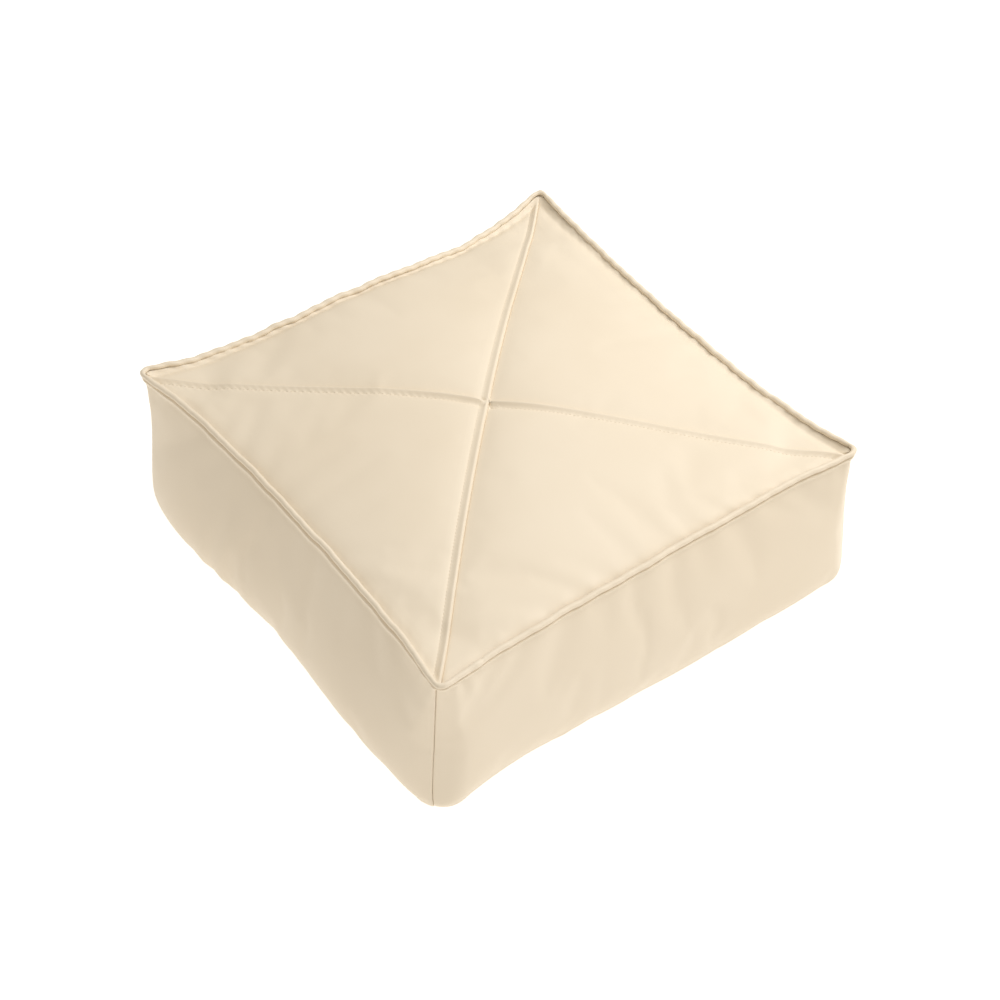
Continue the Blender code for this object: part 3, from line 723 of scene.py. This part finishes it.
def wall_panel(side):
    """A plain side panel."""
    rows = np.concatenate((base_runs(SPLIT_RUN), top_runs(SPLIT_RUN)[1:]))
    points = wall_face(wall_columns(side)[None, :], rows[:, None])
    obj = cover_piece(f"cover_side_{SIDES[side]}", points, f"side_panel_{SIDES[side]}")


def slot_half(x):
    """Half the open height between the back strips: open along the zip, closed past its ends."""
    closed = smooth_step(ZIP_HALF_LENGTH - 5 * MM, ZIP_HALF_LENGTH + 5 * MM, np.abs(x))
    return ZIP_SLOT_HALF * (1 - closed) + 0.1 * MM * closed


def back_strip(upper):
    """Half of the back side, its folded edge along the zip."""
    columns = wall_columns(2)
    sign = 1 if upper else -1
    half = slot_half(wall_point(columns, run_at(ZIP_HEIGHT))[:, 0])

    def level_row(height):
        row = wall_face(columns, run_at(height))
        row[:, 2] = height
        return row

    rows = []
    for off in SLOT_ROWS:
        rows.append(level_row(ZIP_HEIGHT + sign * (half + off)))
        rows[-1][:, 1] += profile(SLOT_EDGE, np.full_like(half, off))
    last = ZIP_HEIGHT + sign * (half + SLOT_ROWS[-1])
    if upper:
        far = top_runs(run_at(ZIP_HEIGHT + 22 * MM))
    else:
        far = base_runs(run_at(ZIP_HEIGHT - 22 * MM))[::-1]
    further = [wall_face(columns, np.full_like(columns, run)) for run in far]
    rows += [level_row(last * (1 - share) + further[0][:, 2] * share) for share in np.linspace(0, 1, 5)[1:-1]]
    name = "upper" if upper else "lower"
    obj = cover_piece(f"cover_back_{name}", np.stack((rows + further)[::sign]), f"back_strip_{name}")


def base_panel():
    """The flat underside, with its edge turned up into the seam."""
    u, v = (np.sin(line * math.pi / 2) * 0.6 + line * 0.4 for line in square_grid(160))
    place, ring = ring_place(u, v)
    points = wall_point(place, 0.0) * ring[..., None]
    points[..., 2] = profile(BASE_SEAM, np.clip((1 - ring) * HALF, 0.1 * MM, 5 * MM))
    cover_piece("cover_base", points[:, ::-1], "base_panel")


# ---- piping ----
PIPING_GATHER = np.array((0.07, 0.08, 0.16, 0.24))     # share by which the gathers swell the piping, per side
PIPING_JOIN = 2.17      # place round the cushion where the piping's ends overlap
JOIN_SWELL, JOIN_NOTCH = 0.16, 0.14     # how much fuller the overlap is, and the step beside it
PIPING_SECTIONS = 1500
PIPING_OPEN = -135      # direction of the strip's open side, in degrees, towards its seam


def piping_line():
    """Centre line of the piping and the outward direction along it."""
    place = np.arange(PIPING_SECTIONS) / PIPING_SECTIONS * 8
    out = wall_normal(place)
    centre = wall_point(place, 1.0) - out * PIPING_SET_IN
    centre[:, 2] += PIPING_LIFT
    return place, centre, out


def tube(name, centre, out, section):
    """A closed ring of sections: each section point is (outward, upward) from the centre line."""
    up = np.array((0.0, 0.0, 1.0))
    points = centre[:, None, :] + section[..., 0:1] * out[:, None, :] + section[..., 1:2] * up
    index = numbered(points)
    index = np.concatenate((index, index[:1]), axis=0)
    return mesh_piece(name, points, grid_faces(closed_up(index)))


def on_circle(angles):
    """Points of a unit circle."""
    return np.stack((np.cos(angles), np.sin(angles)), axis=-1)


def piping(cord_material):
    """The piping: a strip folded round its cord, gathered a little where it turns."""
    place, centre, out = piping_line()
    angles = np.radians(PIPING_OPEN + np.linspace(32, 328, 22))
    outer = on_circle(angles)
    section = np.concatenate((outer * PIPING_RADIUS, outer[::-1] * (PIPING_RADIUS - PIPING_WALL)))
    side, _ = split_place(place)
    spin = np.concatenate((angles, angles[::-1]))
    ripple = 0.5 + 0.5 * np.sin(2 * math.pi * place[:, None] * HALF / GATHER_PITCH + 1.1 * spin[None, :])
    fullness = PIPING_PRESSED + PIPING_GATHER[side][:, None] * ripple
    join = (place - PIPING_JOIN)[:, None] * HALF
    fullness = fullness + JOIN_SWELL * bump(join, 5 * MM) - JOIN_NOTCH * bump(join - 7 * MM, 1.3 * MM)
    strip = tube("piping_strip", centre, out, section[None] * fullness[..., None])
    finish_piece(strip, leather, "cover_cloth", "piping_cover")
    ring = on_circle(np.linspace(0, 2 * math.pi, 12, endpoint=False))
    ring = ring * (PIPING_RADIUS * PIPING_PRESSED - PIPING_WALL - 0.2 * MM)
    cord = tube("piping_core", centre, out, np.broadcast_to(ring, (len(centre), *ring.shape)))
    finish_piece(cord, cord_material, "piping_filler", "piping_cord")


# ---- stitching ----
STITCH_LENGTH = 3.3 * MM
THREAD_RADIUS = 0.27 * MM
THREAD_LIFT, THREAD_DIVE = 0.12, 0.75   # millimetres: a stitch's middle above the cloth, and its ends' fall


def seam_path(panel, number, off, start, stop):
    """Points and normals of a line at a distance off a top panel's diagonal, out from ring start to stop."""
    ring = np.linspace(start, stop, 1400)
    sign = 1 if number == 0 else -1

    def at(shift, rings):
        return top_point(panel, -sign * (1 - (off + shift) * SQRT2 / (rings * HALF)), rings)

    step = 0.6 * MM
    line = at(0.0, ring)
    across = (at(step, ring) - at(-step, ring)) * sign
    along = at(0.0, ring + step / HALF) - at(0.0, ring - step / HALF)
    normal = np.cross(across, along)
    normal *= np.sign(normal[:, 2:3])
    return line, unit(normal)


def stitch_mesh(name, lines):
    """A row of stitches along each (points, normals) line, each dipping into the cloth at its ends."""
    all_points = []
    faces = []
    start = 0
    rings, sides = 7, 6
    across = np.linspace(-1, 1, rings)
    angles = np.arange(sides) / sides * 2 * math.pi
    for line, normal in lines:
        gone = np.concatenate(((0,), np.cumsum(np.linalg.norm(np.diff(line, axis=0), axis=1))))
        number = int(gone[-1] / STITCH_PITCH)
        centre = (np.arange(number) + 0.5) * gone[-1] / number
        at = centre[:, None] + across[None, :] * STITCH_LENGTH / 2
        middle = np.stack([np.interp(at, gone, line[:, axis]) for axis in range(3)], axis=-1)
        up = np.stack([np.interp(at, gone, normal[:, axis]) for axis in range(3)], axis=-1)
        ahead = unit(np.gradient(middle, axis=1))
        beside = np.cross(up, ahead)
        lift = (THREAD_LIFT - THREAD_DIVE * np.abs(across) ** 3) * MM
        middle = middle + up * lift[None, :, None]
        radius = THREAD_RADIUS * (1 - 0.25 * across ** 4)
        spin = beside[:, :, None] * np.cos(angles)[:, None] + up[:, :, None] * np.sin(angles)[:, None]
        points = middle[:, :, None] + spin * radius[None, :, None, None]
        index = start + np.arange(points.size // 3).reshape(number, rings, sides)
        index = np.concatenate((index, index[:, :, :1]), axis=2)
        corners = (index[:, :-1, :-1], index[:, :-1, 1:], index[:, 1:, 1:], index[:, 1:, :-1])
        faces += np.stack(corners, axis=-1).reshape(-1, 4).tolist()
        faces += index[:, 0, :sides][:, ::-1].tolist() + index[:, -1, :sides].tolist()
        all_points.append(points.reshape(-1, 3))
        start += points.size // 3
    return mesh_piece(name, np.concatenate(all_points), faces)


def top_stitching(material):
    """The two lines of topstitching beside the crossed seams, and the lines either side of the zip."""
    last = 1 - 5.5 * MM / HALF
    firsts = ((0, 1, BAND), (3, 0, BAND), (0, 0, 2 * BAND + 1.5 * MM), (1, 1, BAND + 2 * MM))
    lines = [seam_path(panel, number, BAND, first / (HALF * SQRT2), last) for panel, number, first in firsts]
    finish_piece(stitch_mesh("topstitching", lines), material, "cover_cloth")
    x = np.linspace(-ZIP_HALF_LENGTH - 12 * MM, ZIP_HALF_LENGTH + 12 * MM, 1400)
    rows = []
    for sign in (1, -1):
        height = ZIP_HEIGHT + sign * (ZIP_SLOT_HALF + 6 * MM)
        line = np.stack((x, np.full_like(x, STRIP_Y - 0.15 * MM), np.full_like(x, height)), axis=-1)
        rows.append((line, np.broadcast_to((0.0, 1.0, 0.0), line.shape)))
    finish_piece(stitch_mesh("zip_topstitching", rows), material, "zip_tape")


# ---- liner and filling ----
LINER_INSET = 7.8 * MM
FILL_INSET = LINER_INSET + LINER + 2.2 * MM
FOAM_SPLIT = 0.58       # runs at which the filling's layers part, and the gap between them
WADDING_SPLIT = 0.91
LAYER_GAP = 0.004
FLAT_TOP = HEIGHT - max(EDGE_SAG)


def waves(u, v, count, longest, seed):
    """Smooth random unevenness of about -1 to 1 over the cushion, made of long crossing waves."""
    random = np.random.default_rng(seed)
    total = np.zeros_like(u)
    for _ in range(count):
        angle = random.uniform(0, 2 * math.pi)
        length = longest * random.uniform(0.3, 1.0)
        phase = random.uniform(0, 2 * math.pi)
        along = u * math.cos(angle) + v * math.sin(angle)
        total = total + np.sin(along * HALF * 2 * math.pi / length + phase)
    return total / math.sqrt(count)


def under_top(u, v, inset):
    """A point of a layer that lies under the top."""
    point = top_form(u, v)
    point[..., :2] *= 1 - inset / HALF
    point[..., 2] -= inset
    return point


def flat_layer(u, v, run, inset):
    """A point of a flat layer inside the walls at a run."""
    place, ring = ring_place(u, v)
    point = wall_point(place, run, inset)
    point[..., :2] *= ring[..., None]
    rise = (run - ROUND_SHARE) / (1 - ROUND_SHARE)
    level = BASE_RADIUS + rise * (FLAT_TOP - BASE_RADIUS) if run > 0 else 0.0
    point[..., 2] = inset + level * (FLAT_TOP - 2 * inset) / FLAT_TOP
    return point


def filling(name, low, high, crowned, unevenness, material, slot, node):
    """A block of filling between two runs. A crowned one follows the top; the others are cut flat."""
    cells, levels = 90, 24
    u, v = square_grid(cells)
    bottom = flat_layer(u, v, low, FILL_INSET)
    top = under_top(u, v, FILL_INSET) if crowned else flat_layer(u, v, high, FILL_INSET)
    top[..., 2] -= unevenness * (1 + waves(u, v, 9, 0.12, len(name)))
    border = [(row, 0) for row in range(cells)] + [(cells, col) for col in range(cells)]
    border += [(row, cells) for row in range(cells, 0, -1)] + [(0, col) for col in range(cells, 0, -1)]
    rows, cols = np.array(border).T
    place, _ = ring_place(u[rows, cols], v[rows, cols])
    walls = []
    for share in np.linspace(0, 1, levels)[1:-1]:
        edge = wall_point(place, low + (high - low) * share, FILL_INSET)
        edge[:, 2] = bottom[rows, cols, 2] * (1 - share) + top[rows, cols, 2] * share
        walls.append(edge)
    walls = np.array(walls)
    index = numbered(bottom)
    ring = np.concatenate((index[None, rows, cols], numbered(walls, 2 * index.size),
                           index[None, rows, cols] + index.size))
    faces = grid_faces(index) + grid_faces((index + index.size).T) + grid_faces(closed_up(ring))
    obj = finish_piece(mesh_piece(name, joined(bottom, top, walls), faces), material, slot, node)


def liner(material):
    """The inner bag: top, side band and base, each a sheet of cloth."""
    u, v = square_grid(120)
    top = under_top(u * 0.985, v * 0.985, LINER_INSET)
    top[..., 2] -= 0.5 * MM * (1 + waves(u, v, 8, 0.16, 3))
    obj = sheet_piece("liner_bag_top", top, LINER, material, "liner_cloth", "liner_top")
    rows = wall_point(np.linspace(0, 8, 480)[None, :], np.linspace(0.0, 0.985, 60)[:, None], LINER_INSET)
    index = numbered(rows)
    index[:, -1] = index[:, 0]
    band = thicken(mesh_piece("liner_bag_band", rows, grid_faces(index.T)), LINER)
    finish_piece(band, material, "liner_cloth", "liner_side_band")
    base = flat_layer(u * 0.99, v * 0.99, 0.0, LINER_INSET)
    obj = sheet_piece("liner_bag_base", base[:, ::-1], LINER, material, "liner_cloth", "liner_base")


# ---- zip ----
COIL_PITCH = 1.6 * MM
COIL_WIRE = 0.32 * MM
COIL_STEPS = 12         # points of the coil for each turn
COIL_OVERLAP = 0.25 * MM    # how far each half's heads pass the middle
COIL_HEAD = 0.35        # how much wider the wire is pressed at a head
# Section of a tape: shares of its width out from the coil, and of its thickness there.
TAPE_ACROSS = (0, 0.02, 0.06, 0.12, 0.16, 0.22, 0.4, 0.6, 0.8, 0.92, 0.96, 0.985, 1.0)
TAPE_THICK = (0.4, 0.9, 1.25, 1.25, 0.95, 0.9, 0.9, 0.9, 0.9, 0.95, 1.0, 0.8, 0.4)


def capped_tube(name, points, flip=False):
    """A mesh over rows of closed sections, its two ends filled."""
    index = numbered(points)
    if flip:
        index = index[:, ::-1]
    ends = [index[0].tolist()[::-1], index[-1].tolist()]
    return mesh_piece(name, points, grid_faces(closed_up(index)) + ends)


def unit(vectors):
    """Vectors brought to length 1."""
    return vectors / np.linalg.norm(vectors, axis=-1, keepdims=True)


def zip_coil(side, material):
    """Half of the coil: a monofilament wound round the tape's edge, its heads meeting the other half's."""
    low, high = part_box(f"zip_coil_{side}")
    upper = side == "upper"
    sign = 1 if upper else -1
    turns = int((high[0] - low[0]) / COIL_PITCH)
    angle = np.arange(turns * COIL_STEPS + 1) / COIL_STEPS * 2 * math.pi
    inner = ZIP_HEIGHT - sign * COIL_OVERLAP
    outer = high[2] if upper else low[2]
    depth = (high[1] - low[1]) / 2 - COIL_WIRE
    y = (low[1] + high[1]) / 2 + depth * np.sin(angle)
    z = (inner + outer) / 2 - sign * (abs(outer - inner) / 2 - COIL_WIRE) * np.cos(angle)
    shift = 0.0 if upper else COIL_PITCH / 2
    x = low[0] + shift / 2 + angle / (2 * math.pi) * (high[0] - low[0] - COIL_PITCH) / turns
    line = np.stack((x, y, z), axis=-1)
    ahead = unit(np.gradient(line, axis=0))
    beside = unit(np.cross(ahead, (1.0, 0.0, 0.0)))
    other = np.cross(ahead, beside)
    spin = np.arange(6) / 6 * 2 * math.pi
    flat = 1 + COIL_HEAD * np.clip(np.cos(angle), 0, 1)[:, None] ** 6
    points = line[:, None] + COIL_WIRE * (beside[:, None] * np.cos(spin)[:, None]
                                          + other[:, None] * (np.sin(spin)[None, :] * flat)[..., None])
    finish_piece(capped_tube(f"zip_spiral_{side}", points), material, "zip_coil", f"zip_coil_{side}")


def zip_tape(side, material):
    """One tape: a woven ribbon with a thicker edge beside the coil."""
    low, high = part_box(f"zip_tape_{side}")
    sign, edge = (1, low[2]) if side == "upper" else (-1, high[2])
    thick = np.array(TAPE_THICK) * (high[1] - low[1]) / 2
    z = edge + sign * np.array(TAPE_ACROSS) * (high[2] - low[2])
    middle = (low[1] + high[1]) / 2
    section_y = np.concatenate((middle + thick, (middle - thick)[::-1]))
    section_z = np.concatenate((z, z[::-1]))
    x = np.linspace(low[0], high[0], 300)[:, None]
    points = np.stack(np.broadcast_arrays(x, section_y + 0.05 * MM * np.sin(x / 9 / MM), section_z), axis=-1)
    ribbon = capped_tube(f"zip_ribbon_{side}", points, side == "lower")
    finish_piece(ribbon, material, "zip_tape", f"zip_tape_{side}")


def zip_metal(material):
    """Finish the zip's CAD nodes: plated metal with its edges slightly rounded."""
    for name in ("zip_slider", "zip_pull_tab", "zip_stop_closed_end", "zip_stop_open_end"):
        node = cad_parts[name]
        for slot in node.material_slots:
            slot.link = "OBJECT"
            slot.material = material
        soft_edge = node.modifiers.new("soft_edge", "BEVEL")
        soft_edge.width = 0.15 * MM
        soft_edge.segments = 2
        soft_edge.limit_method = "ANGLE"
        soft_edge.angle_limit = math.radians(50)


# ---- materials ----
def fill(node, inputs):
    """Set or link a node's inputs, by name or number."""
    for name, value in inputs.items():
        if isinstance(value, bpy.types.NodeSocket):
            node.id_data.links.new(value, node.inputs[name])
        else:
            node.inputs[name].default_value = value


class Nodes:
    """A material's node tree with short calls that add a node and give its output."""

    def __init__(self, name):
        self.material = bpy.data.materials.new(name)
        self.material.use_nodes = True
        self.tree = self.material.node_tree
        self.place = self.tree.nodes.new("ShaderNodeTexCoord").outputs["Object"]

    def add(self, kind, output, inputs, **settings):
        node = self.tree.nodes.new(kind)
        for name, value in settings.items():
            setattr(node, name, value)
        fill(node, inputs)
        return node.outputs[output]

    def stretched(self, scale, turn=0.0):
        return self.add("ShaderNodeMapping", "Vector", {"Vector": self.place, "Rotation": (0.0, 0.0, turn),
                                                        "Scale": scale})

    def noise(self, scale, detail=3.0, place=None):
        return self.add("ShaderNodeTexNoise", "Fac", {"Vector": place or self.place, "Scale": scale,
                                                      "Detail": detail})

    def cells(self, scale, feature):
        inputs = {"Vector": self.place, "Scale": scale}
        return self.add("ShaderNodeTexVoronoi", "Distance", inputs, feature=feature)

    def blend(self, share, low, high):
        return self.add("ShaderNodeMix", "Result", {"Factor": share, "A": (*low, 1.0), "B": (*high, 1.0)},
                        data_type="RGBA")

    def ramp(self, value, low, high, to_low=0.0, to_high=1.0):
        return self.add("ShaderNodeMapRange", "Result", {"Value": value, "From Min": low, "From Max": high,
                                                         "To Min": to_low, "To Max": to_high})

    def math(self, operation, a, b=0.0):
        return self.add("ShaderNodeMath", "Value", {0: a, 1: b}, operation=operation)

    def bump(self, height, strength, distance, below=None):
        inputs = {"Height": height, "Strength": strength, "Distance": distance}
        return self.add("ShaderNodeBump", "Normal", inputs | ({"Normal": below} if below else {}))

    def finish(self, colour, roughness, normal, **constants):
        inputs = {"Base Color": colour, "Roughness": roughness, "Normal": normal}
        inputs |= {name.replace("_", " "): value for name, value in constants.items()}
        fill(self.tree.nodes["Principled BSDF"], inputs)
        return self.material


def leather_look():
    """Smooth cream coated cloth with a fine grain."""
    nodes = Nodes("cream_leather_look")
    broad = nodes.ramp(nodes.noise(5.0, 4.0), 0.3, 0.7)
    colour = nodes.blend(broad, (0.845, 0.735, 0.580), (0.880, 0.775, 0.625))
    grain = nodes.ramp(nodes.cells(620.0, "DISTANCE_TO_EDGE"), 0.0, 0.25)
    normal = nodes.bump(nodes.noise(160.0), 0.12, 0.4 * MM)
    normal = nodes.bump(grain, 0.10, 0.08 * MM, normal)
    normal = nodes.bump(nodes.noise(1700.0, 2.0), 0.06, 0.05 * MM, normal)
    roughness = nodes.ramp(nodes.noise(40.0), 0.3, 0.7, 0.50, 0.60)
    return nodes.finish(colour, roughness, normal, Specular_IOR_Level=0.4, Sheen_Weight=0.05)


def metal_look():
    """Nickel-plated zinc with a fine brushed grain and slight wear."""
    nodes = Nodes("zip_metal_brushed")
    cloudy = nodes.ramp(nodes.noise(300.0, 4.0), 0.3, 0.7)
    colour = nodes.blend(cloudy, (0.47, 0.46, 0.435), (0.60, 0.59, 0.56))
    brushed = nodes.noise(1.0, place=nodes.stretched((300.0, 6000.0, 6000.0)))
    normal = nodes.bump(brushed, 0.15, 0.02 * MM)
    return nodes.finish(colour, nodes.ramp(brushed, 0.3, 0.7, 0.24, 0.36), normal, Metallic=1.0)


def woven(name, low, high, pitch, depth):
    """A plain weave: warp and weft threads crossing at a pitch."""
    nodes = Nodes(name)
    spread = nodes.stretched((math.pi / pitch,) * 3)
    axes = nodes.add("ShaderNodeSeparateXYZ", "X", {"Vector": spread}).node.outputs
    ribs = [nodes.math("ABSOLUTE", nodes.math("SINE", axes[axis])) for axis in "XYZ"]
    threads = nodes.math("MULTIPLY", nodes.math("MULTIPLY", ribs[0], ribs[1]), ribs[2])
    grain = nodes.math("ADD", threads, nodes.noise(1 / pitch))
    colour = nodes.blend(nodes.ramp(grain, 0.3, 1.3), low, high)
    return nodes.finish(colour, nodes.ramp(grain, 0.2, 1.4, 0.92, 0.78), nodes.bump(grain, 0.5, depth),
                        Sheen_Weight=0.15)


def foam_look(name, low, high, cell):
    """Open foam: small round pores."""
    nodes = Nodes(name)
    pores = nodes.cells(1 / cell, "SMOOTH_F1")
    share = nodes.ramp(pores, 0.1, 0.6)
    return nodes.finish(nodes.blend(share, low, high), nodes.ramp(pores, 0.1, 0.6, 0.98, 0.86),
                        nodes.bump(share, 0.8, cell * 0.4))


def coil_look():
    """Moulded nylon with a soft gloss."""
    nodes = Nodes("zip_coil_nylon")
    cloudy = nodes.ramp(nodes.noise(900.0), 0.3, 0.7)
    return nodes.finish(nodes.blend(cloudy, (0.74, 0.66, 0.52), (0.82, 0.74, 0.60)),
                        nodes.ramp(cloudy, 0.0, 1.0, 0.34, 0.46),
                        nodes.bump(nodes.noise(4000.0, 2.0), 0.1, 0.03 * MM))


def fibre_look(name, low, high):
    """Matted fibres: stretched noise in crossing directions."""
    nodes = Nodes(name)
    strands = nodes.math("MULTIPLY", *(nodes.noise(1.0, 4.0, nodes.stretched(scale, turn)) for turn, scale in
                                       ((0.5, (900.0, 160.0, 400.0)), (-0.7, (180.0, 1000.0, 400.0)))))
    colour = nodes.blend(nodes.ramp(strands, 0.1, 0.45), low, high)
    return nodes.finish(colour, nodes.ramp(strands, 0.1, 0.45, 1.0, 0.9), nodes.bump(strands, 0.9, 0.8 * MM),
                        Sheen_Weight=0.2)


def plain_cloth(name, low, high, weave_scale):
    """A simple woven cloth."""
    nodes = Nodes(name)
    weave = nodes.noise(weave_scale, 2.0)
    return nodes.finish(nodes.blend(nodes.noise(weave_scale / 3, 4.0), low, high),
                        nodes.ramp(weave, 0.3, 0.7, 0.75, 0.9), nodes.bump(weave, 0.4, 0.2 * MM))


# ---- stage ----
FLOOR = {"Base Color": (0.28, 0.28, 0.28, 1.0), "Roughness": 0.9,
         "Emission Color": (1.0, 0.96, 0.90, 1.0), "Emission Strength": 0.98}
SKY = {"Color": (1.0, 0.95, 0.86, 1.0), "Strength": 0.51}
KEY_SIZE, KEY_POWER = 1.3, 38
KEY_TOWARDS, KEY_DISTANCE = np.array((0.17, 0.53, 0.83)), 2.5
CAMERA_PLACE = (1.30076, -1.01582, 1.78739)
CAMERA_ANGLES = (51.747, 46.316, 1.562)     # degrees: azimuth from the front, elevation and roll
CAMERA_LENS = 75.27     # millimetres, for a frame 36 wide


def stage_floor():
    """A plain pale floor that stays near white."""
    bpy.ops.mesh.primitive_plane_add(size=16)
    floor = bpy.context.object
    floor.name = "floor"
    paper = bpy.data.materials.new("pale_floor")
    paper.use_nodes = True
    fill(paper.node_tree.nodes["Principled BSDF"], FLOOR)
    floor.data.materials.append(paper)


def studio():
    """A soft key from the back right and an even sky."""
    world = bpy.data.worlds.new("studio")
    world.use_nodes = True
    fill(world.node_tree.nodes["Background"], SKY)
    scene = bpy.context.scene
    scene.world = world
    scene.view_settings.view_transform = "Standard"
    key = bpy.data.lights.new("key", "AREA")
    key.shape = "DISK"
    key.size = KEY_SIZE
    key.energy = KEY_POWER
    lamp = bpy.data.objects.new("key", key)
    lamp.location = KEY_TOWARDS * KEY_DISTANCE
    lamp.rotation_euler = Vector(-KEY_TOWARDS).to_track_quat("-Z", "Y").to_euler()
    scene.collection.objects.link(lamp)


def camera():
    """The photograph's viewpoint: a long lens from the front right corner, well above."""
    azimuth, elevation, roll = (math.radians(angle) for angle in CAMERA_ANGLES)
    back = Vector((math.sin(azimuth) * math.cos(elevation), -math.cos(azimuth) * math.cos(elevation),
                   math.sin(elevation)))
    right = Vector((0, 0, 1)).cross(back).normalized()
    up = back.cross(right)
    tilted_right = right * math.cos(roll) + up * math.sin(roll)
    tilted_up = up * math.cos(roll) - right * math.sin(roll)
    data = bpy.data.cameras.new("camera")
    data.sensor_width = 36
    data.lens = CAMERA_LENS
    data.clip_start = 0.05
    view = bpy.data.objects.new("camera", data)
    turn = Matrix((tilted_right, tilted_up, back)).transposed().to_4x4()
    view.matrix_world = Matrix.Translation(CAMERA_PLACE) @ turn
    bpy.context.scene.collection.objects.link(view)
    bpy.context.scene.camera = view


# ---- the cushion ----
camera()
stage_floor()
studio()
leather = leather_look()
filler = fibre_look("piping_filler_fibre", (0.80, 0.79, 0.75), (0.92, 0.91, 0.88))
thread = plain_cloth("cream_thread", (0.66, 0.56, 0.42), (0.78, 0.68, 0.54), 2500.0)
liner_cloth = woven("liner_weave", (0.76, 0.75, 0.72), (0.90, 0.89, 0.86), 0.9 * MM, 0.15 * MM)
tape_cloth = woven("zip_tape_weave", (0.66, 0.57, 0.43), (0.80, 0.71, 0.57), 0.6 * MM, 0.12 * MM)
coil_plastic = coil_look()
foam_soft = foam_look("foam_cream", (0.78, 0.73, 0.57), (0.93, 0.90, 0.80), 1.6 * MM)
foam_firm = foam_look("foam_grey", (0.62, 0.65, 0.68), (0.80, 0.82, 0.84), 1.2 * MM)
fibre = fibre_look("wadding_fibre", (0.80, 0.80, 0.79), (0.95, 0.95, 0.94))
simulate_cover()
for number in range(4):
    top_panel(number)
for number in (0, 1, 3):
    wall_panel(number)
for half in ("upper", "lower"):
    back_strip(half == "upper")
    zip_coil(half, coil_plastic)
    zip_tape(half, tape_cloth)
base_panel()
piping(filler)
top_stitching(thread)
filling("foam_firm", 0.0, FOAM_SPLIT, False, 0.1 * MM, foam_firm, "foam_firm", "foam_firm_layer")
filling("foam_soft", FOAM_SPLIT + LAYER_GAP, WADDING_SPLIT, False, 0.1 * MM, foam_soft, "foam_soft",
        "foam_soft_layer")
filling("wadding_sheet", WADDING_SPLIT + LAYER_GAP, 1.0, True, 0.4 * MM, fibre, "wadding", "wadding_top")
liner(liner_cloth)
zip_metal(metal_look())
